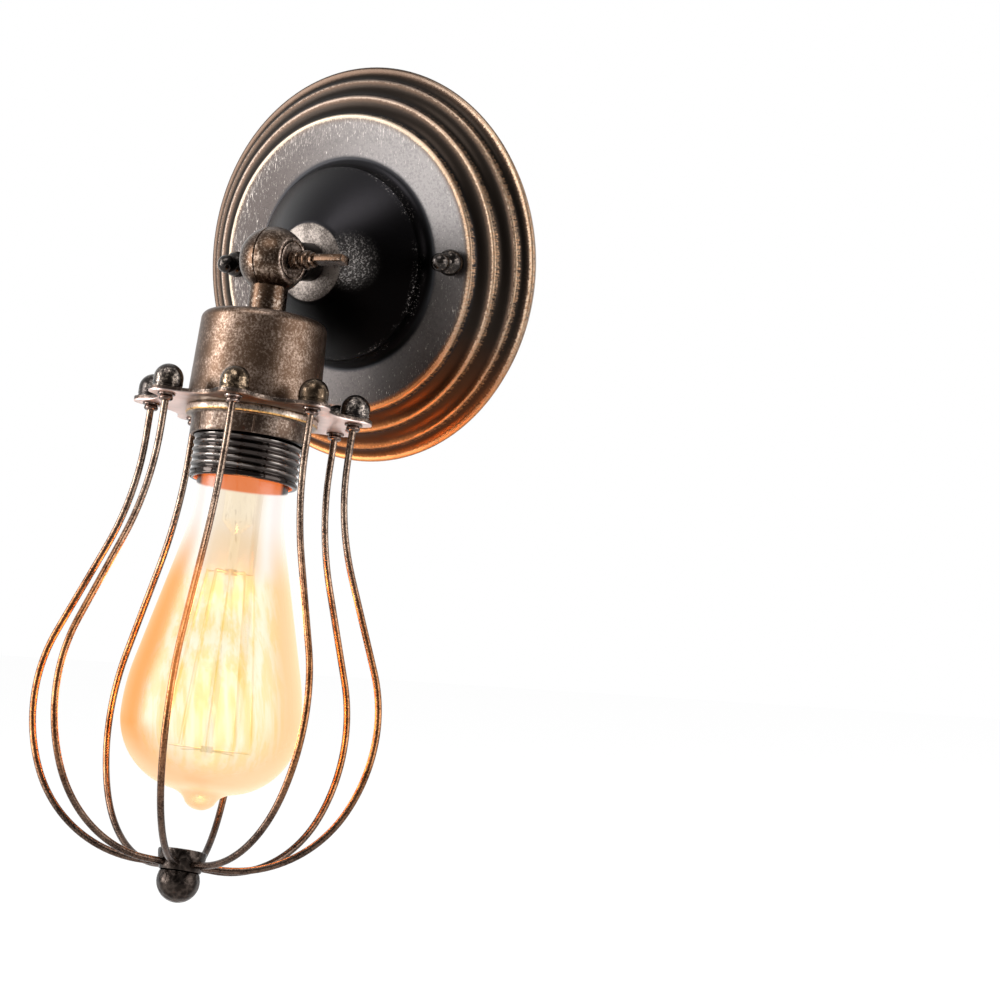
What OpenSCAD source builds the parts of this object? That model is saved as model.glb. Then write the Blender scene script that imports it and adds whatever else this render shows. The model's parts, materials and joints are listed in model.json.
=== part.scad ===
// Cage wall light: a stepped round wall plate carries a short arm and a clamped swivel knuckle.
// A bell-less socket husk hangs from the knuckle with a lobed ring, eight bent wires and a bulb.
// Millimetres. Origin: centre of the wall plate's back, on the wall. +Z is up, -Y is out of the wall.

/* [Wall plate] */
// Radius of the outermost, lowest ridge
ridge_1_r = 67.5; // [66:0.1:80]
// Radius of the second ridge
ridge_2_r = 63.1; // [60:0.1:64.5]
// Radius of the third ridge
ridge_3_r = 57.5; // [54:0.1:59]
// Radius of the flat front face
flat_r = 51; // [50:0.1:53]
// How far the rim draws in towards the wall
rim_under = 2.2; // [0.4:0.1:2.6]
// Height of the outermost ridge above the wall
ridge_1_h = 5; // [3:0.1:6]
// Height of the second ridge above the wall
ridge_2_h = 8.6; // [7.8:0.1:10]
// Height of the third ridge above the wall
ridge_3_h = 13.2; // [12:0.1:14.5]
// Height of the flat front face above the wall
flat_h = 17.5; // [16.5:0.1:22]
// Rounding of the ridges
ridge_round = 0.9; // [0.3:0.1:1.2]
// Wall of the spun steel
plate_wall = 1.5; // [1:0.1:2]

/* [Dome] */
// Radius of the dome where it leaves the flat face
dome_r = 36.2; // [34:0.1:38]
// Radius of the dome's crisp edge
dome_edge_r = 32.7; // [28:0.1:33.5]
// Height of that edge above the flat face
dome_edge_h = 4.9; // [3:0.1:8]
// Radius of the small flat end of the dome
dome_end_r = 13.1; // [12:0.1:18]
// Height of the dome's end above the flat face
dome_h = 22; // [18:0.1:26]
// How far the dome's flank bulges
dome_bulge = 0.8; // [0:0.1:1.5]

/* [Wall fixing] */
// Distance between the two studs and their ball nuts
stud_spacing = 88.9; // [86:0.05:89.5]
// Radius of a stud's thread
stud_r = 2.1; // [1.8:0.05:2.4]
// Length of the strap
strap_length = 102; // [99:1:116]
// Width of the strap
strap_width = 18; // [16:1:22]
// Thickness of the strap
strap_thick = 1.8; // [1.5:0.1:2.5]
// Distance between the centres of the strap's box slots
slot_spacing = 69.85; // [68:0.05:72]
// Length of a slot, end to end
slot_length = 11; // [8:0.5:11.5]
// Width of a slot
slot_width = 4.6; // [4.2:0.1:5]
// Radius of the bead of a wall plate nut
bead_r = 4.5; // [4:0.1:5]
// Height of the bead's centre above the flat face
bead_h = 3; // [2.5:0.1:3.6]
// Radius of the ball at the tip of a wall plate nut
tip_ball_r = 3.2; // [2.8:0.1:4]
// Height of the tip ball's centre above the flat face
tip_ball_h = 8.9; // [8:0.1:10]
// Depth of the stud in its ball nut
stud_in_nut = 6; // [4:0.1:6.4]
// Width across the flats of a stud's lock nut
lock_nut_flats = 8; // [7:0.1:9]
// Thickness of a stud's lock nut
lock_nut_h = 3; // [2:0.1:4]
// Distance of the earth screw from the strap's centre
earth_screw_x = 15; // [12:0.5:20]
// Radius of the earth screw's thread
earth_screw_r = 2; // [1.5:0.1:2.2]
// Radius of the earth screw's head
earth_head_r = 3.8; // [3:0.1:5]
// Height of the earth screw's head
earth_head_h = 2.4; // [1.5:0.1:3]

/* [Arm and knuckle] */
// Distance of the knuckle's centre from the wall
pivot_out = 59.5; // [57:0.1:70]
// Radius of the knuckle's ball
ball_r = 11.2; // [10.8:0.1:12.5]
// Width of the seam between the two half balls
seam = 0.2; // [0.1:0.05:0.4]
// Distance of the ball's flat cheeks from its middle
cheek_x = 8.3; // [7.5:0.1:9]
// Radius of the hollow in the ball
hollow_r = 7.6; // [7.2:0.1:8]
// Radius of the arm
arm_r = 6.5; // [6.2:0.1:7]
// Radius of the neck under the ball
neck_r = 6.35; // [6:0.05:7]
// Radius of the boss round the pivot screw
boss_r = 4.4; // [4:0.1:4.8]
// Radius of the pivot screw
pivot_screw_r = 2.5; // [2:0.1:2.8]
// Radius of the thumb screw's two beads
collar_r = 3.3; // [2.9:0.1:4]
// Length of one bead
collar_length = 3.5; // [3:0.1:5]
// Radius of the thumb screw's waists
waist_of_screw_r = 2.4; // [1.8:0.1:2.8]
// Length of the thumb screw's waists
waist_length = 1; // [0.5:0.1:1.5]
// Length of the thumb screw's paddle
paddle_length = 12.8; // [10:0.1:18]
// Width of the paddle, across its flat
paddle_width = 5.2; // [4.8:0.1:9]
// Thickness of the paddle
paddle_thick = 2.5; // [2:0.1:3.5]
// Angle of the paddle's flat at rest
paddle_turn = 20; // [0:5:90]
// Radius of the threaded tubes that join the arm and the husk
tube_r = 4.95; // [4.6:0.05:5.2]
// Bore radius of the threaded tubes
tube_bore_r = 3.3; // [3.1:0.1:3.5]
// Radius of one insulated lead
lead_r = 1; // [0.8:0.05:1.1]

/* [Head] */
// Angle of the head out from straight down
head_tilt = 12; // [5:0.5:30]
// Distance from the knuckle's centre to the husk's top
husk_top = 19.6; // [18:0.1:24]
// Radius of the husk under its rounded shoulder
husk_top_r = 20.9; // [20:0.1:23]
// Radius of the husk at its lower rim
husk_rim_r = 22; // [21.4:0.1:24]
// Length of the husk
husk_length = 30.7; // [28:0.1:36]
// Rounding of the husk's shoulder
husk_round = 3; // [1.5:0.1:4.5]
// Wall of the husk
husk_wall = 1.2; // [0.8:0.1:1.6]
// Crest radius of the socket's outer thread
sleeve_r = 18; // [17.2:0.1:18.6]
// Depth of the outer thread
thread_depth = 0.7; // [0.4:0.05:0.9]
// Pitch of the outer thread
thread_pitch = 2.37; // [2:0.01:3]
// Length of the threaded sleeve that shows below the clamp ring
sleeve_show = 14.2; // [12:0.1:18]
// Radius of the clamp ring's flange
clamp_flange_r = 21.9; // [20.5:0.1:23]
// Thickness of the clamp ring's flange
clamp_flange_h = 2.7; // [2:0.1:4]
// Radius of the clamp ring's grip
clamp_grip_r = 19.6; // [19.2:0.1:20.3]
// Height of the clamp ring's grip
clamp_grip_h = 6.5; // [5:0.1:9]

/* [Cage] */
// Number of wires
wires = 8; // [8:1:8]
// Radius of the circle of wires and nuts at the ring
ring_r = 34; // [33.5:0.1:38]
// Thickness of the ring
ring_thick = 1.5; // [1:0.1:2]
// Radius of a lobe of the ring
lobe_r = 6; // [5.4:0.1:7]
// Radius of the ring between two lobes
waist_r = 32; // [29:0.1:32.5]
// Radius of a wire
wire_r = 1.15; // [0.9:0.05:1.4]
// Angle of the first wire from straight out
first_wire = 26; // [0:1:44]
// Lean of the hand-bent cage against the head
cage_lean = 2.1; // [0:0.1:2.4]
// Length of the wires' straight legs under the small nuts
leg_length = 9.8; // [4:0.1:16]
// Largest radius of the cage, at the wires' middle
belly_r = 57; // [52:0.1:64]
// Height of that widest place above the wires' lower ends
belly_rise = 49.7; // [44:0.1:56]
// How much steeper the wires flare than a straight line to the widest place
flare_steepness = 1.49; // [1.3:0.01:1.8]
// Part of the flare's bending that lies at the widest place
belly_share = 0.35; // [0.25:0.01:0.6]
// Angle of the first of the two bends under the widest place
belly_turn = 26; // [15:1:40]
// Radius at which the wires turn level
level_r = 12.9; // [11:0.1:20]
// Space between the bulb's tip and the wires' lower ends
under_bulb = 18.5; // [17:0.1:30]
// Radius of a ring nut's ball
ring_nut_r = 4.9; // [4:0.1:5.4]
// Height of a ring nut
ring_nut_h = 8.2; // [7.4:0.1:10]
// Radius of the small nut under the ring
under_nut_r = 3; // [2.4:0.1:3.6]
// Height of the small nut under the ring
under_nut_h = 2.4; // [1.5:0.1:3.5]
// Upper radius of the cup that gathers the wires
cup_top_r = 8; // [7.2:0.1:9.5]
// Lower radius of the cup
cup_foot_r = 6.8; // [6.6:0.1:7.4]
// Height of the cup
cup_h = 7; // [6:0.1:9]
// Radius of the finial ball
finial_r = 7.05; // [6.6:0.05:8]
// Radius of the finial's screw
finial_screw_r = 2; // [1.6:0.1:2.4]

/* [Bulb] */
// Length of the bulb from contact to tip
bulb_length = 140; // [136:0.5:141]
// Largest radius of the bulb
bulb_r = 29.4; // [27:0.1:31]
// Radius of the bulb's neck
bulb_neck_r = 15.1; // [14:0.1:15.4]
// Height of the bulb's screw base
bulb_base_h = 24.8; // [23:0.1:27]
// Length of the straight neck below the base
bulb_neck_length = 6.7; // [5:0.1:9]
// How much steeper the bulb widens than a straight line from neck to widest place
bulb_steepness = 1.3; // [1.15:0.01:1.5]
// Part of the widening's bending that lies at the neck
bulb_neck_share = 0.51; // [0.4:0.01:0.6]
// Bend radius of the bulb's end
bulb_end_bend = 23.5; // [20:0.5:25]
// Radius of the small round nub at the tip
nub_r = 6.3; // [5:0.1:7]
// Wall of the glass
glass_wall = 0.9; // [0.6:0.1:1.2]
// Number of upright filament strands
strands = 10; // [6:2:14]
// Radius of the strands' circle at the upper hooks
strand_top_r = 8; // [6:0.5:9]
// Radius of the strands' circle at the lower hooks
strand_foot_r = 15; // [11:0.5:17]
// Length of the glass stem below the screw base
stem_length = 20; // [16:1:24]
// Distance of the upper hooks below the stem
hook_drop = 17; // [12:1:20]
// Distance of the lower hooks from the bulb's tip
hook_from_tip = 19.8; // [15:0.1:30]
// Radius of a filament strand
strand_r = 0.35; // [0.25:0.05:0.5]

/* [Hidden] */

$fn = 72;
// Clearance of a running fit or of a thread, on the radius
fit = 0.05;
// Clearance that lets a piece turn or swing past another
swing = 0.4;
// Play of a bent wire in its nuts and holes
play = 0.3;
// Extra length of a cutting solid
over = 1;
// Steps of a bend drawn as points
bend_steps = 8;
// Distance from the middle of a bead to the stretches of wire or lead it joins
bead_gap = 0.1;
// How much thicker than them a bead is, on the radius
bead_swell = 0.03;

// Colours
bronze = [0.13, 0.11, 0.1];
brown_bronze = [0.42, 0.31, 0.24];
gunmetal = [0.2, 0.2, 0.2];
zinc = [0.7, 0.7, 0.72];
brass = [0.78, 0.62, 0.3];
phenolic = [0.09, 0.08, 0.08];
clear_glass = [0.95, 0.85, 0.7, 0.4];

// Wall plate
dome_base_h = flat_h;
dome_rim_h = flat_h + dome_edge_h;
dome_end_h = flat_h + dome_h;
stud_hole_r = stud_r + 0.2;
stud_end_h = flat_h + stud_in_nut;

// Knuckle: the distances run out from the pivot
shoulder = ball_r + swing;
cheek_wall = 2;
tube_in_arm = 7;
washer_r = 9;
washer_h = 1.2;
tube_nut_flats = 14;
tube_nut_h = 3;
arm_tube_low = dome_end_h - plate_wall - washer_h - tube_nut_h - 1.5;
lead_side = 0.6 + lead_r;
lead_gap = lead_r + fit;
lead_slot_r = 2 * lead_r + 0.3;
lead_start = hollow_r - 1.6;

// Head: the distances run down from the pivot along the head's axis
husk_roof = husk_top + husk_wall;
husk_rim = husk_top + husk_length;
head_nut_end = husk_roof + tube_nut_h;
cap_top = head_nut_end + 0.2;
cap_r = sleeve_r - thread_depth;
cap_wall = 1.7;
cap_hub_h = 6;
ring_top = husk_rim;
ring_foot = ring_top + ring_thick;
clamp_grip_top = ring_foot + clamp_flange_h;
clamp_foot = clamp_grip_top + clamp_grip_h;
sleeve_foot = clamp_foot + sleeve_show;
thread_root_r = sleeve_r - thread_depth;
shell_r = 13.25;
shell_wall = 0.5;
shell_seat_r = shell_r + shell_wall + fit;
mouth_r = bulb_neck_r + 0.8;
bulb_top = sleeve_foot - 32;
bulb_tip = bulb_top + bulb_length;
contact_h = 2.1;
socket_floor = bulb_top - contact_h - fit;
socket_top = socket_floor - 2.5;
spigot_h = 2.5;
shell_top = bulb_top + 3.2;
shell_foot = sleeve_foot - 8;
head_tube_foot = cap_top + cap_hub_h - fit;
lead_split = head_tube_foot + 0.6;
terminal_y = 7;
terminal_r = 1.4;
terminal_top = socket_top - 1.5;

bead_edge = 0.6;

// Cage
wire_angles = [for (i = [0:wires - 1]) first_wire + i * 360 / wires];
ring_bore_r = sleeve_r + play;
scallop_inset = waist_r - lobe_r;
scallop_centre = (pow(ring_r, 2) - pow(scallop_inset, 2))
    / (2 * (ring_r * cos(180 / wires) - scallop_inset));
scallop_r = scallop_centre - waist_r;
web_r = norm([ring_r + lobe_r * (scallop_centre * cos(180 / wires) - ring_r) / (lobe_r + scallop_r),
    lobe_r * scallop_centre * sin(180 / wires) / (lobe_r + scallop_r)]) - 0.1;
lean_down = ring_top + ring_thick / 2;
wire_top = ring_top - ring_nut_h + ring_nut_r - 1;
foot_down = bulb_tip + under_bulb;
belly_down = foot_down - belly_rise;
leg_foot = ring_foot + under_nut_h + leg_length;
flare_angle = flare_steepness * atan((belly_r - ring_r) / (belly_down - leg_foot));
flare_and_belly = ((belly_down - leg_foot) * sin(flare_angle) - (belly_r - ring_r) * cos(flare_angle))
    / (1 - cos(flare_angle));
belly_bend = flare_and_belly * belly_share;
flare_bend = flare_and_belly - belly_bend;
flank_length = ((belly_r - ring_r) - flare_and_belly * (1 - cos(flare_angle))) / sin(flare_angle);
flare_end_r = ring_r + flare_bend * (1 - cos(flare_angle));
flare_end_down = leg_foot + flare_bend * sin(flare_angle);
belly_start_r = belly_r - belly_bend * (1 - cos(flare_angle));
belly_start_down = belly_down - belly_bend * sin(flare_angle);
two_bends = sin(belly_turn) + cos(belly_turn) - 1;
lower_bend = (belly_rise * cos(belly_turn) - (belly_r - level_r) * (1 - sin(belly_turn))) / two_bends;
foot_bend = ((belly_r - level_r) * sin(belly_turn) - belly_rise * (1 - cos(belly_turn))) / two_bends;
lower_end_r = belly_r - lower_bend * (1 - cos(belly_turn));
lower_end_down = belly_down + lower_bend * sin(belly_turn);
cup_top = foot_down + wire_r + 1.15 - cup_h;
cup_foot = cup_top + cup_h;
wire_end_r = 4.9;
finial_centre = cup_foot + 3;
finial_screw_top = cup_top + 1;

// Bulb
bulb_base_foot = bulb_top + bulb_base_h;
bulb_insulator_top = bulb_top + 1;
bulb_shell_top = bulb_top + 3.5;
bulb_thread_r = shell_r - 0.25;
bulb_base_wall = 0.4;
glass_foot_r = bulb_thread_r - bulb_base_wall - 0.2;
glass_top = bulb_base_foot - 1.8;
bulb_wide = bulb_tip - nub_r + 0.5 - bulb_end_bend;
neck_full = bulb_base_foot + 4.2;
neck_bend_down = neck_full + bulb_neck_length;
cone_angle = bulb_steepness * atan((bulb_r - bulb_neck_r) / (bulb_wide - neck_bend_down));
bulb_bends = ((bulb_wide - neck_bend_down) * sin(cone_angle) - (bulb_r - bulb_neck_r) * cos(cone_angle))
    / (1 - cos(cone_angle));
bulb_neck_bend = bulb_bends * bulb_neck_share;
bulb_side_bend = bulb_bends - bulb_neck_bend;
stem_r = 5.3;
stem_foot = bulb_base_foot + stem_length;
rod_r = 1.6;
hook_top = stem_foot + hook_drop;
hook_foot = bulb_tip - hook_from_tip;
rod_foot = hook_foot + 3;
hook_r = 0.3;

// Places

module from_wall() { rotate([90, 0, 0]) children(); }

// Down the head's axis: +Z runs down from the pivot, +Y points out of the wall
module down_head() { translate([0, -pivot_out, 0]) rotate([180 - head_tilt, 0, 0]) children(); }

// The same, with the lean of the hand-bent cage added at the ring
module down_cage() {
    down_head() translate([0, 0, lean_down]) rotate([-cage_lean, 0, 0]) translate([0, 0, -lean_down])
        children();
}

module at_angle(angle) { rotate([0, 0, -angle]) children(); }

module round_ring() { for (angle = wire_angles) at_angle(angle) translate([0, ring_r, 0]) children(); }

module along_x(from) { translate([from, 0, 0]) rotate([0, 90, 0]) children(); }

module tube_between(outer, inner, low, high) {
    difference() {
        translate([0, 0, low]) cylinder(r = outer, h = high - low);
        translate([0, 0, low - over]) cylinder(r = inner, h = high - low + 2 * over);
    }
}

module hex_nut(flats, bore, low, high) {
    difference() {
        translate([0, 0, low]) cylinder(r = flats / sqrt(3), h = high - low, $fn = 6);
        translate([0, 0, low - over]) cylinder(r = bore, h = high - low + 2 * over);
    }
}

// A lead as a chain of straight stretches, joined by beads a hair thicker than the lead
module lead(points) {
    last = len(points) - 2;
    for (i = [0:last]) {
        a = points[i];
        v = points[i + 1] - a;
        start = i > 0 ? bead_gap : 0;
        translate(a) rotate([0, acos(v[2] / norm(v)), atan2(v[1], v[0])]) translate([0, 0, start])
            cylinder(r = lead_r, h = norm(v) - start - (i < last ? bead_gap : 0));
        if (i > 0) translate(a) sphere(r = lead_r + bead_swell);
    }
}

// Wall plate

// A hollow cove from one ridge up to the next, then the next ridge's round edge
function step_points(r0, h0, r1, h1) = concat(
    [for (i = [0:bend_steps]) let (t = 90 * i / bend_steps)
        [r0 - ridge_round - (r0 - ridge_round - r1) * sin(t), h1 - ridge_round - (h1 - ridge_round - h0) * cos(t)]],
    [for (i = [1:3]) let (t = 90 * i / 3)
        [r1 - ridge_round * (1 - cos(t)), h1 - ridge_round * (1 - sin(t))]]);

dome_points = concat(
    [for (i = [0:bend_steps]) let (t = 90 * i / bend_steps)
        [dome_r - (dome_r - dome_edge_r) * sin(t), dome_rim_h - dome_edge_h * cos(t)]],
    [for (i = [1:bend_steps]) let (t = i / bend_steps)
        [dome_edge_r + (dome_end_r - dome_edge_r) * t + dome_bulge * 4 * t * (1 - t) * 0.63,
         dome_rim_h + (dome_end_h - dome_rim_h) * t + dome_bulge * 4 * t * (1 - t) * 0.78]]);

// The plate's outline, drawn in by a wall
function plate_outline(wall) = concat(
    [[0, -wall], [ridge_1_r - rim_under - wall, -wall], [ridge_1_r - wall, ridge_1_h - ridge_round - wall]],
    [for (i = [1:3]) let (t = 90 * i / 3)
        [ridge_1_r - ridge_round * (1 - cos(t)) - wall, ridge_1_h - ridge_round * (1 - sin(t)) - wall]],
    [for (p = concat(
        step_points(ridge_1_r, ridge_1_h, ridge_2_r, ridge_2_h),
        step_points(ridge_2_r, ridge_2_h, ridge_3_r, ridge_3_h),
        step_points(ridge_3_r, ridge_3_h, flat_r, flat_h),
        dome_points)) [p[0] - wall, p[1] - wall]],
    [[0, dome_end_h - wall]]);

module canopy() {
    color(bronze) from_wall() difference() {
        rotate_extrude() polygon(plate_outline(0));
        rotate_extrude() polygon(plate_outline(plate_wall));
        cylinder(r = tube_r + fit, h = dome_end_h + over);
        for (side = [-1, 1]) translate([side * stud_spacing / 2, 0, 0])
            cylinder(r = stud_hole_r, h = flat_h + over);
    }
}

// Strap, studs and nuts

module slot(length, width, depth) {
    for (side = [-1, 1]) translate([side * (length - width) / 2, 0, 0]) cylinder(r = width / 2, h = depth);
    translate([-(length - width) / 2, -width / 2, 0]) cube([length - width, width, depth]);
}

module crossbar() {
    color(zinc) from_wall() difference() {
        slot(strap_length, strap_width, strap_thick);
        translate([0, 0, -over]) {
            cylinder(r = tube_r + fit, h = strap_thick + 2 * over);
            translate([earth_screw_x, 0, 0]) cylinder(r = earth_screw_r + fit, h = strap_thick + 2 * over);
            for (side = [-1, 1]) {
                translate([side * stud_spacing / 2, 0, 0]) cylinder(r = stud_r + fit, h = strap_thick + 2 * over);
                translate([side * slot_spacing / 2, 0, 0]) slot(slot_length, slot_width, strap_thick + 2 * over);
            }
        }
    }
}

module crossbar_studs() {
    color(zinc) from_wall() for (side = [-1, 1]) translate([side * stud_spacing / 2, 0, 0])
        cylinder(r = stud_r, h = stud_end_h);
}

module stud_lock_nuts() {
    color(zinc) from_wall() for (side = [-1, 1]) translate([side * stud_spacing / 2, 0, 0])
        hex_nut(lock_nut_flats, stud_r + fit, strap_thick, strap_thick + lock_nut_h);
}

module canopy_ball_nuts() {
    color(gunmetal) from_wall() for (side = [-1, 1]) translate([side * stud_spacing / 2, 0, flat_h])
        difference() {
            union() {
                translate([0, 0, bead_h]) sphere(r = bead_r);
                translate([0, 0, tip_ball_h]) sphere(r = tip_ball_r);
            }
            translate([-bead_r - over, -bead_r - over, -bead_r])
                cube([2 * (bead_r + over), 2 * (bead_r + over), bead_r]);
            translate([0, 0, -over]) cylinder(r = stud_r + fit, h = stud_in_nut + over + fit);
        }
}

module ground_screw() {
    color("green") from_wall() translate([earth_screw_x, 0, 0]) union() {
        cylinder(r = earth_screw_r, h = strap_thick);
        translate([0, 0, strap_thick]) cylinder(r = earth_head_r, h = earth_head_h);
    }
}

// Arm

module arm_washer() {
    color(zinc) from_wall()
        tube_between(washer_r, tube_r + fit, dome_end_h - plate_wall - washer_h, dome_end_h - plate_wall);
}

module arm_lock_nut() {
    color(zinc) from_wall() hex_nut(tube_nut_flats, tube_r + fit,
        dome_end_h - plate_wall - washer_h - tube_nut_h, dome_end_h - plate_wall - washer_h);
}

module arm_nipple() {
    color(zinc) from_wall() tube_between(tube_r, tube_bore_r, arm_tube_low, dome_end_h + tube_in_arm);
}

// The -X half of the knuckle's ball with its boss, and the stem along +Z. The stem's other side
// stands back so that the other half ball can turn past it.
module half_knuckle(stem_r, stem_end) {
    difference() {
        union() {
            intersection() {
                sphere(r = ball_r);
                translate([-cheek_x, -ball_r, -ball_r]) cube([cheek_x - seam / 2, 2 * ball_r, 2 * ball_r]);
            }
            intersection() {
                cylinder(r = stem_r, h = shoulder + over);
                translate([-stem_r - over, -stem_r - over, 0])
                    cube([stem_r + over - seam / 2, 2 * (stem_r + over), shoulder + over]);
            }
            translate([0, 0, shoulder]) cylinder(r = stem_r, h = stem_end - shoulder);
        }
        difference() {
            intersection() {
                sphere(r = hollow_r);
                translate([cheek_wall - cheek_x, -ball_r, -ball_r])
                    cube([cheek_x - cheek_wall, 2 * ball_r, 2 * ball_r]);
            }
            along_x(-cheek_x) cylinder(r = boss_r, h = cheek_x - seam / 2);
        }
        along_x(-ball_r) cylinder(r = pivot_screw_r + fit, h = 2 * ball_r);
        translate([-lead_side, 0, hollow_r - 1]) cylinder(r = lead_slot_r, h = shoulder);
        translate([0, 0, shoulder + 2]) cylinder(r = tube_bore_r, h = stem_end - shoulder);
        translate([0, 0, stem_end - tube_in_arm - fit]) cylinder(r = tube_r + fit, h = tube_in_arm + over);
    }
}

module swivel_arm() {
    color(brown_bronze) translate([0, -pivot_out, 0]) rotate([-90, 0, 0]) mirror([1, 0, 0])
        half_knuckle(arm_r, pivot_out - dome_end_h);
}

module arm_lead(turn) {
    translate([0, -pivot_out, 0]) rotate([-90, 0, 0])
        lead([[lead_side, turn * lead_gap, lead_start], [lead_side, turn * lead_gap, pivot_out - arm_tube_low + 2]]);
}

module live_lead_arm() { color("black") arm_lead(1); }

module neutral_lead_arm() { color("white") arm_lead(-1); }

// Head

module swivel_head() {
    color(brown_bronze) down_head() half_knuckle(neck_r, husk_top);
}

module thumb_screw() {
    paddle_x = cheek_x + fit + 2 * (collar_length + waist_length);
    color(brown_bronze) translate([0, -pivot_out, 0]) union() {
        along_x(0.5 - cheek_x) cylinder(r = pivot_screw_r, h = 2 * cheek_x);
        along_x(cheek_x + 0.5) cylinder(r = waist_of_screw_r, h = paddle_x - cheek_x);
        for (i = [0, 1]) along_x(cheek_x + fit + i * (collar_length + waist_length))
            rotate_extrude() polygon([[0, 0], [collar_r - bead_edge, 0], [collar_r, bead_edge],
                [collar_r, collar_length - bead_edge], [collar_r - bead_edge, collar_length], [0, collar_length]]);
        rotate([-paddle_turn, 0, 0]) intersection() {
            translate([paddle_x, -paddle_width / 2, -paddle_thick / 2])
                cube([paddle_length, paddle_width, paddle_thick]);
            translate([paddle_x + paddle_length / 2, 0, -paddle_thick])
                cylinder(r = norm([paddle_length, paddle_width]) / 2 - 0.9, h = 2 * paddle_thick);
        }
    }
}

module head_nipple() {
    color(zinc) down_head() tube_between(tube_r, tube_bore_r, husk_top - tube_in_arm, head_tube_foot);
}

module head_lock_nut() {
    color(zinc) down_head() hex_nut(tube_nut_flats, tube_r + fit, husk_roof, head_nut_end);
}

// The husk's outside or inside: a shoulder arc, then a slightly flared side
function husk_outline(wall, foot) = concat(
    [[0, wall]],
    [for (i = [0:bend_steps]) let (t = 90 * i / bend_steps, bend = husk_round - wall * 0.5)
        [husk_top_r - wall - bend * (1 - sin(t)), wall + bend * (1 - cos(t))]],
    [[husk_rim_r - wall, foot], [0, foot]]);

module husk() {
    color(brown_bronze) down_head() translate([0, 0, husk_top]) difference() {
        rotate_extrude() polygon(husk_outline(0, husk_length));
        rotate_extrude() polygon(husk_outline(husk_wall, husk_length + over));
        translate([0, 0, -over]) cylinder(r = tube_r + fit, h = 2 * over + husk_wall);
    }
}

module socket_cap() {
    color(phenolic) down_head() difference() {
        translate([0, 0, cap_top]) cylinder(r = cap_r, h = socket_top - cap_top);
        translate([0, 0, cap_top + cap_hub_h]) cylinder(r = cap_r - cap_wall, h = socket_top);
        translate([0, 0, cap_top - over]) cylinder(r = tube_r + fit, h = cap_hub_h + 2 * over);
    }
}

module socket_body() {
    ridges = floor((sleeve_foot - husk_rim - 1) / thread_pitch);
    color(phenolic) down_head() difference() {
        union() {
            translate([0, 0, socket_top]) cylinder(r = thread_root_r, h = sleeve_foot - socket_top);
            translate([0, 0, socket_top - spigot_h])
                cylinder(r = cap_r - cap_wall - fit, h = spigot_h + over);
            for (i = [1:ridges]) translate([0, 0, sleeve_foot - (i - 0.25) * thread_pitch]) thread_ridge();
        }
        translate([0, 0, socket_floor]) cylinder(r = shell_seat_r, h = sleeve_foot);
        translate([0, 0, shell_foot + 0.3]) cylinder(r = mouth_r, h = sleeve_foot);
        translate([0, 0, socket_top - spigot_h - over])
            cylinder(r = cap_r - cap_wall - fit - 1.8, h = spigot_h + over);
        for (side = [-1, 1]) translate([0, side * terminal_y, socket_top - over])
            cylinder(r = terminal_r + fit, h = socket_floor - socket_top + 2 * over);
    }
}

// One ridge of the outer thread, drawn as a closed ring
module thread_ridge() {
    half = thread_pitch * 0.4;
    rotate_extrude() polygon([[thread_root_r - over, -half], [thread_root_r, -half],
        [sleeve_r, -half * 0.3], [sleeve_r, half * 0.3], [thread_root_r, half], [thread_root_r - over, half]]);
}

module screw_shell() {
    color(brass) down_head() union() {
        tube_between(shell_r + shell_wall, shell_r, shell_top, shell_foot);
        intersection() {
            translate([-terminal_r, -terminal_y - terminal_r, socket_floor])
                cube([2 * terminal_r, terminal_r * 2, 0.8]);
            cylinder(r = shell_r + shell_wall, h = sleeve_foot);
        }
        translate([-terminal_r, -shell_r - shell_wall / 2, socket_floor])
            cube([2 * terminal_r, shell_r - terminal_y + terminal_r, 0.8]);
        translate([-terminal_r, -shell_r - shell_wall / 2, socket_floor])
            cube([2 * terminal_r, shell_wall / 2 + 0.3, shell_top - socket_floor + 1]);
        translate([0, -terminal_y, terminal_top]) cylinder(r = terminal_r, h = socket_floor - terminal_top + 0.4);
    }
}

module centre_contact() {
    color(brass) down_head() union() {
        translate([0, 0, socket_floor + contact_h - 0.8]) cylinder(r = 3.6, h = 0.8);
        translate([0, 0, socket_floor]) cylinder(r = 2, h = contact_h - 0.4);
        translate([-terminal_r, 0, socket_floor]) cube([2 * terminal_r, terminal_y + terminal_r, 0.8]);
        translate([0, terminal_y, terminal_top]) cylinder(r = terminal_r, h = socket_floor - terminal_top + 0.4);
    }
}

module head_lead(turn) {
    down_head() lead([[-lead_side, turn * lead_gap, lead_start], [-lead_side, turn * lead_gap, lead_split],
        [0, turn * terminal_y, terminal_top - 3], [0, turn * terminal_y, terminal_top]]);
}

module live_lead_head() { color("black") head_lead(1); }

module neutral_lead_head() { color("white") head_lead(-1); }

module clamp_ring() {
    color(brown_bronze) down_head() difference() {
        union() {
            translate([0, 0, ring_foot]) cylinder(r = clamp_flange_r, h = clamp_flange_h);
            translate([0, 0, clamp_grip_top]) cylinder(r = clamp_grip_r, h = clamp_grip_h);
            translate([0, 0, clamp_foot - 1]) cylinder(r = clamp_grip_r + 0.5, h = 1);
        }
        translate([0, 0, ring_foot - over]) cylinder(r = sleeve_r + fit, h = clamp_foot);
    }
}

// Cage

module cage_ring() {
    color(bronze) down_head() translate([0, 0, ring_top]) linear_extrude(ring_thick) difference() {
        union() {
            circle(r = web_r);
            round_ring() circle(r = lobe_r);
        }
        for (angle = wire_angles) at_angle(angle + 180 / wires) translate([0, scallop_centre]) circle(r = scallop_r);
        round_ring() circle(r = wire_r + play);
        circle(r = ring_bore_r);
    }
}

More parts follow.
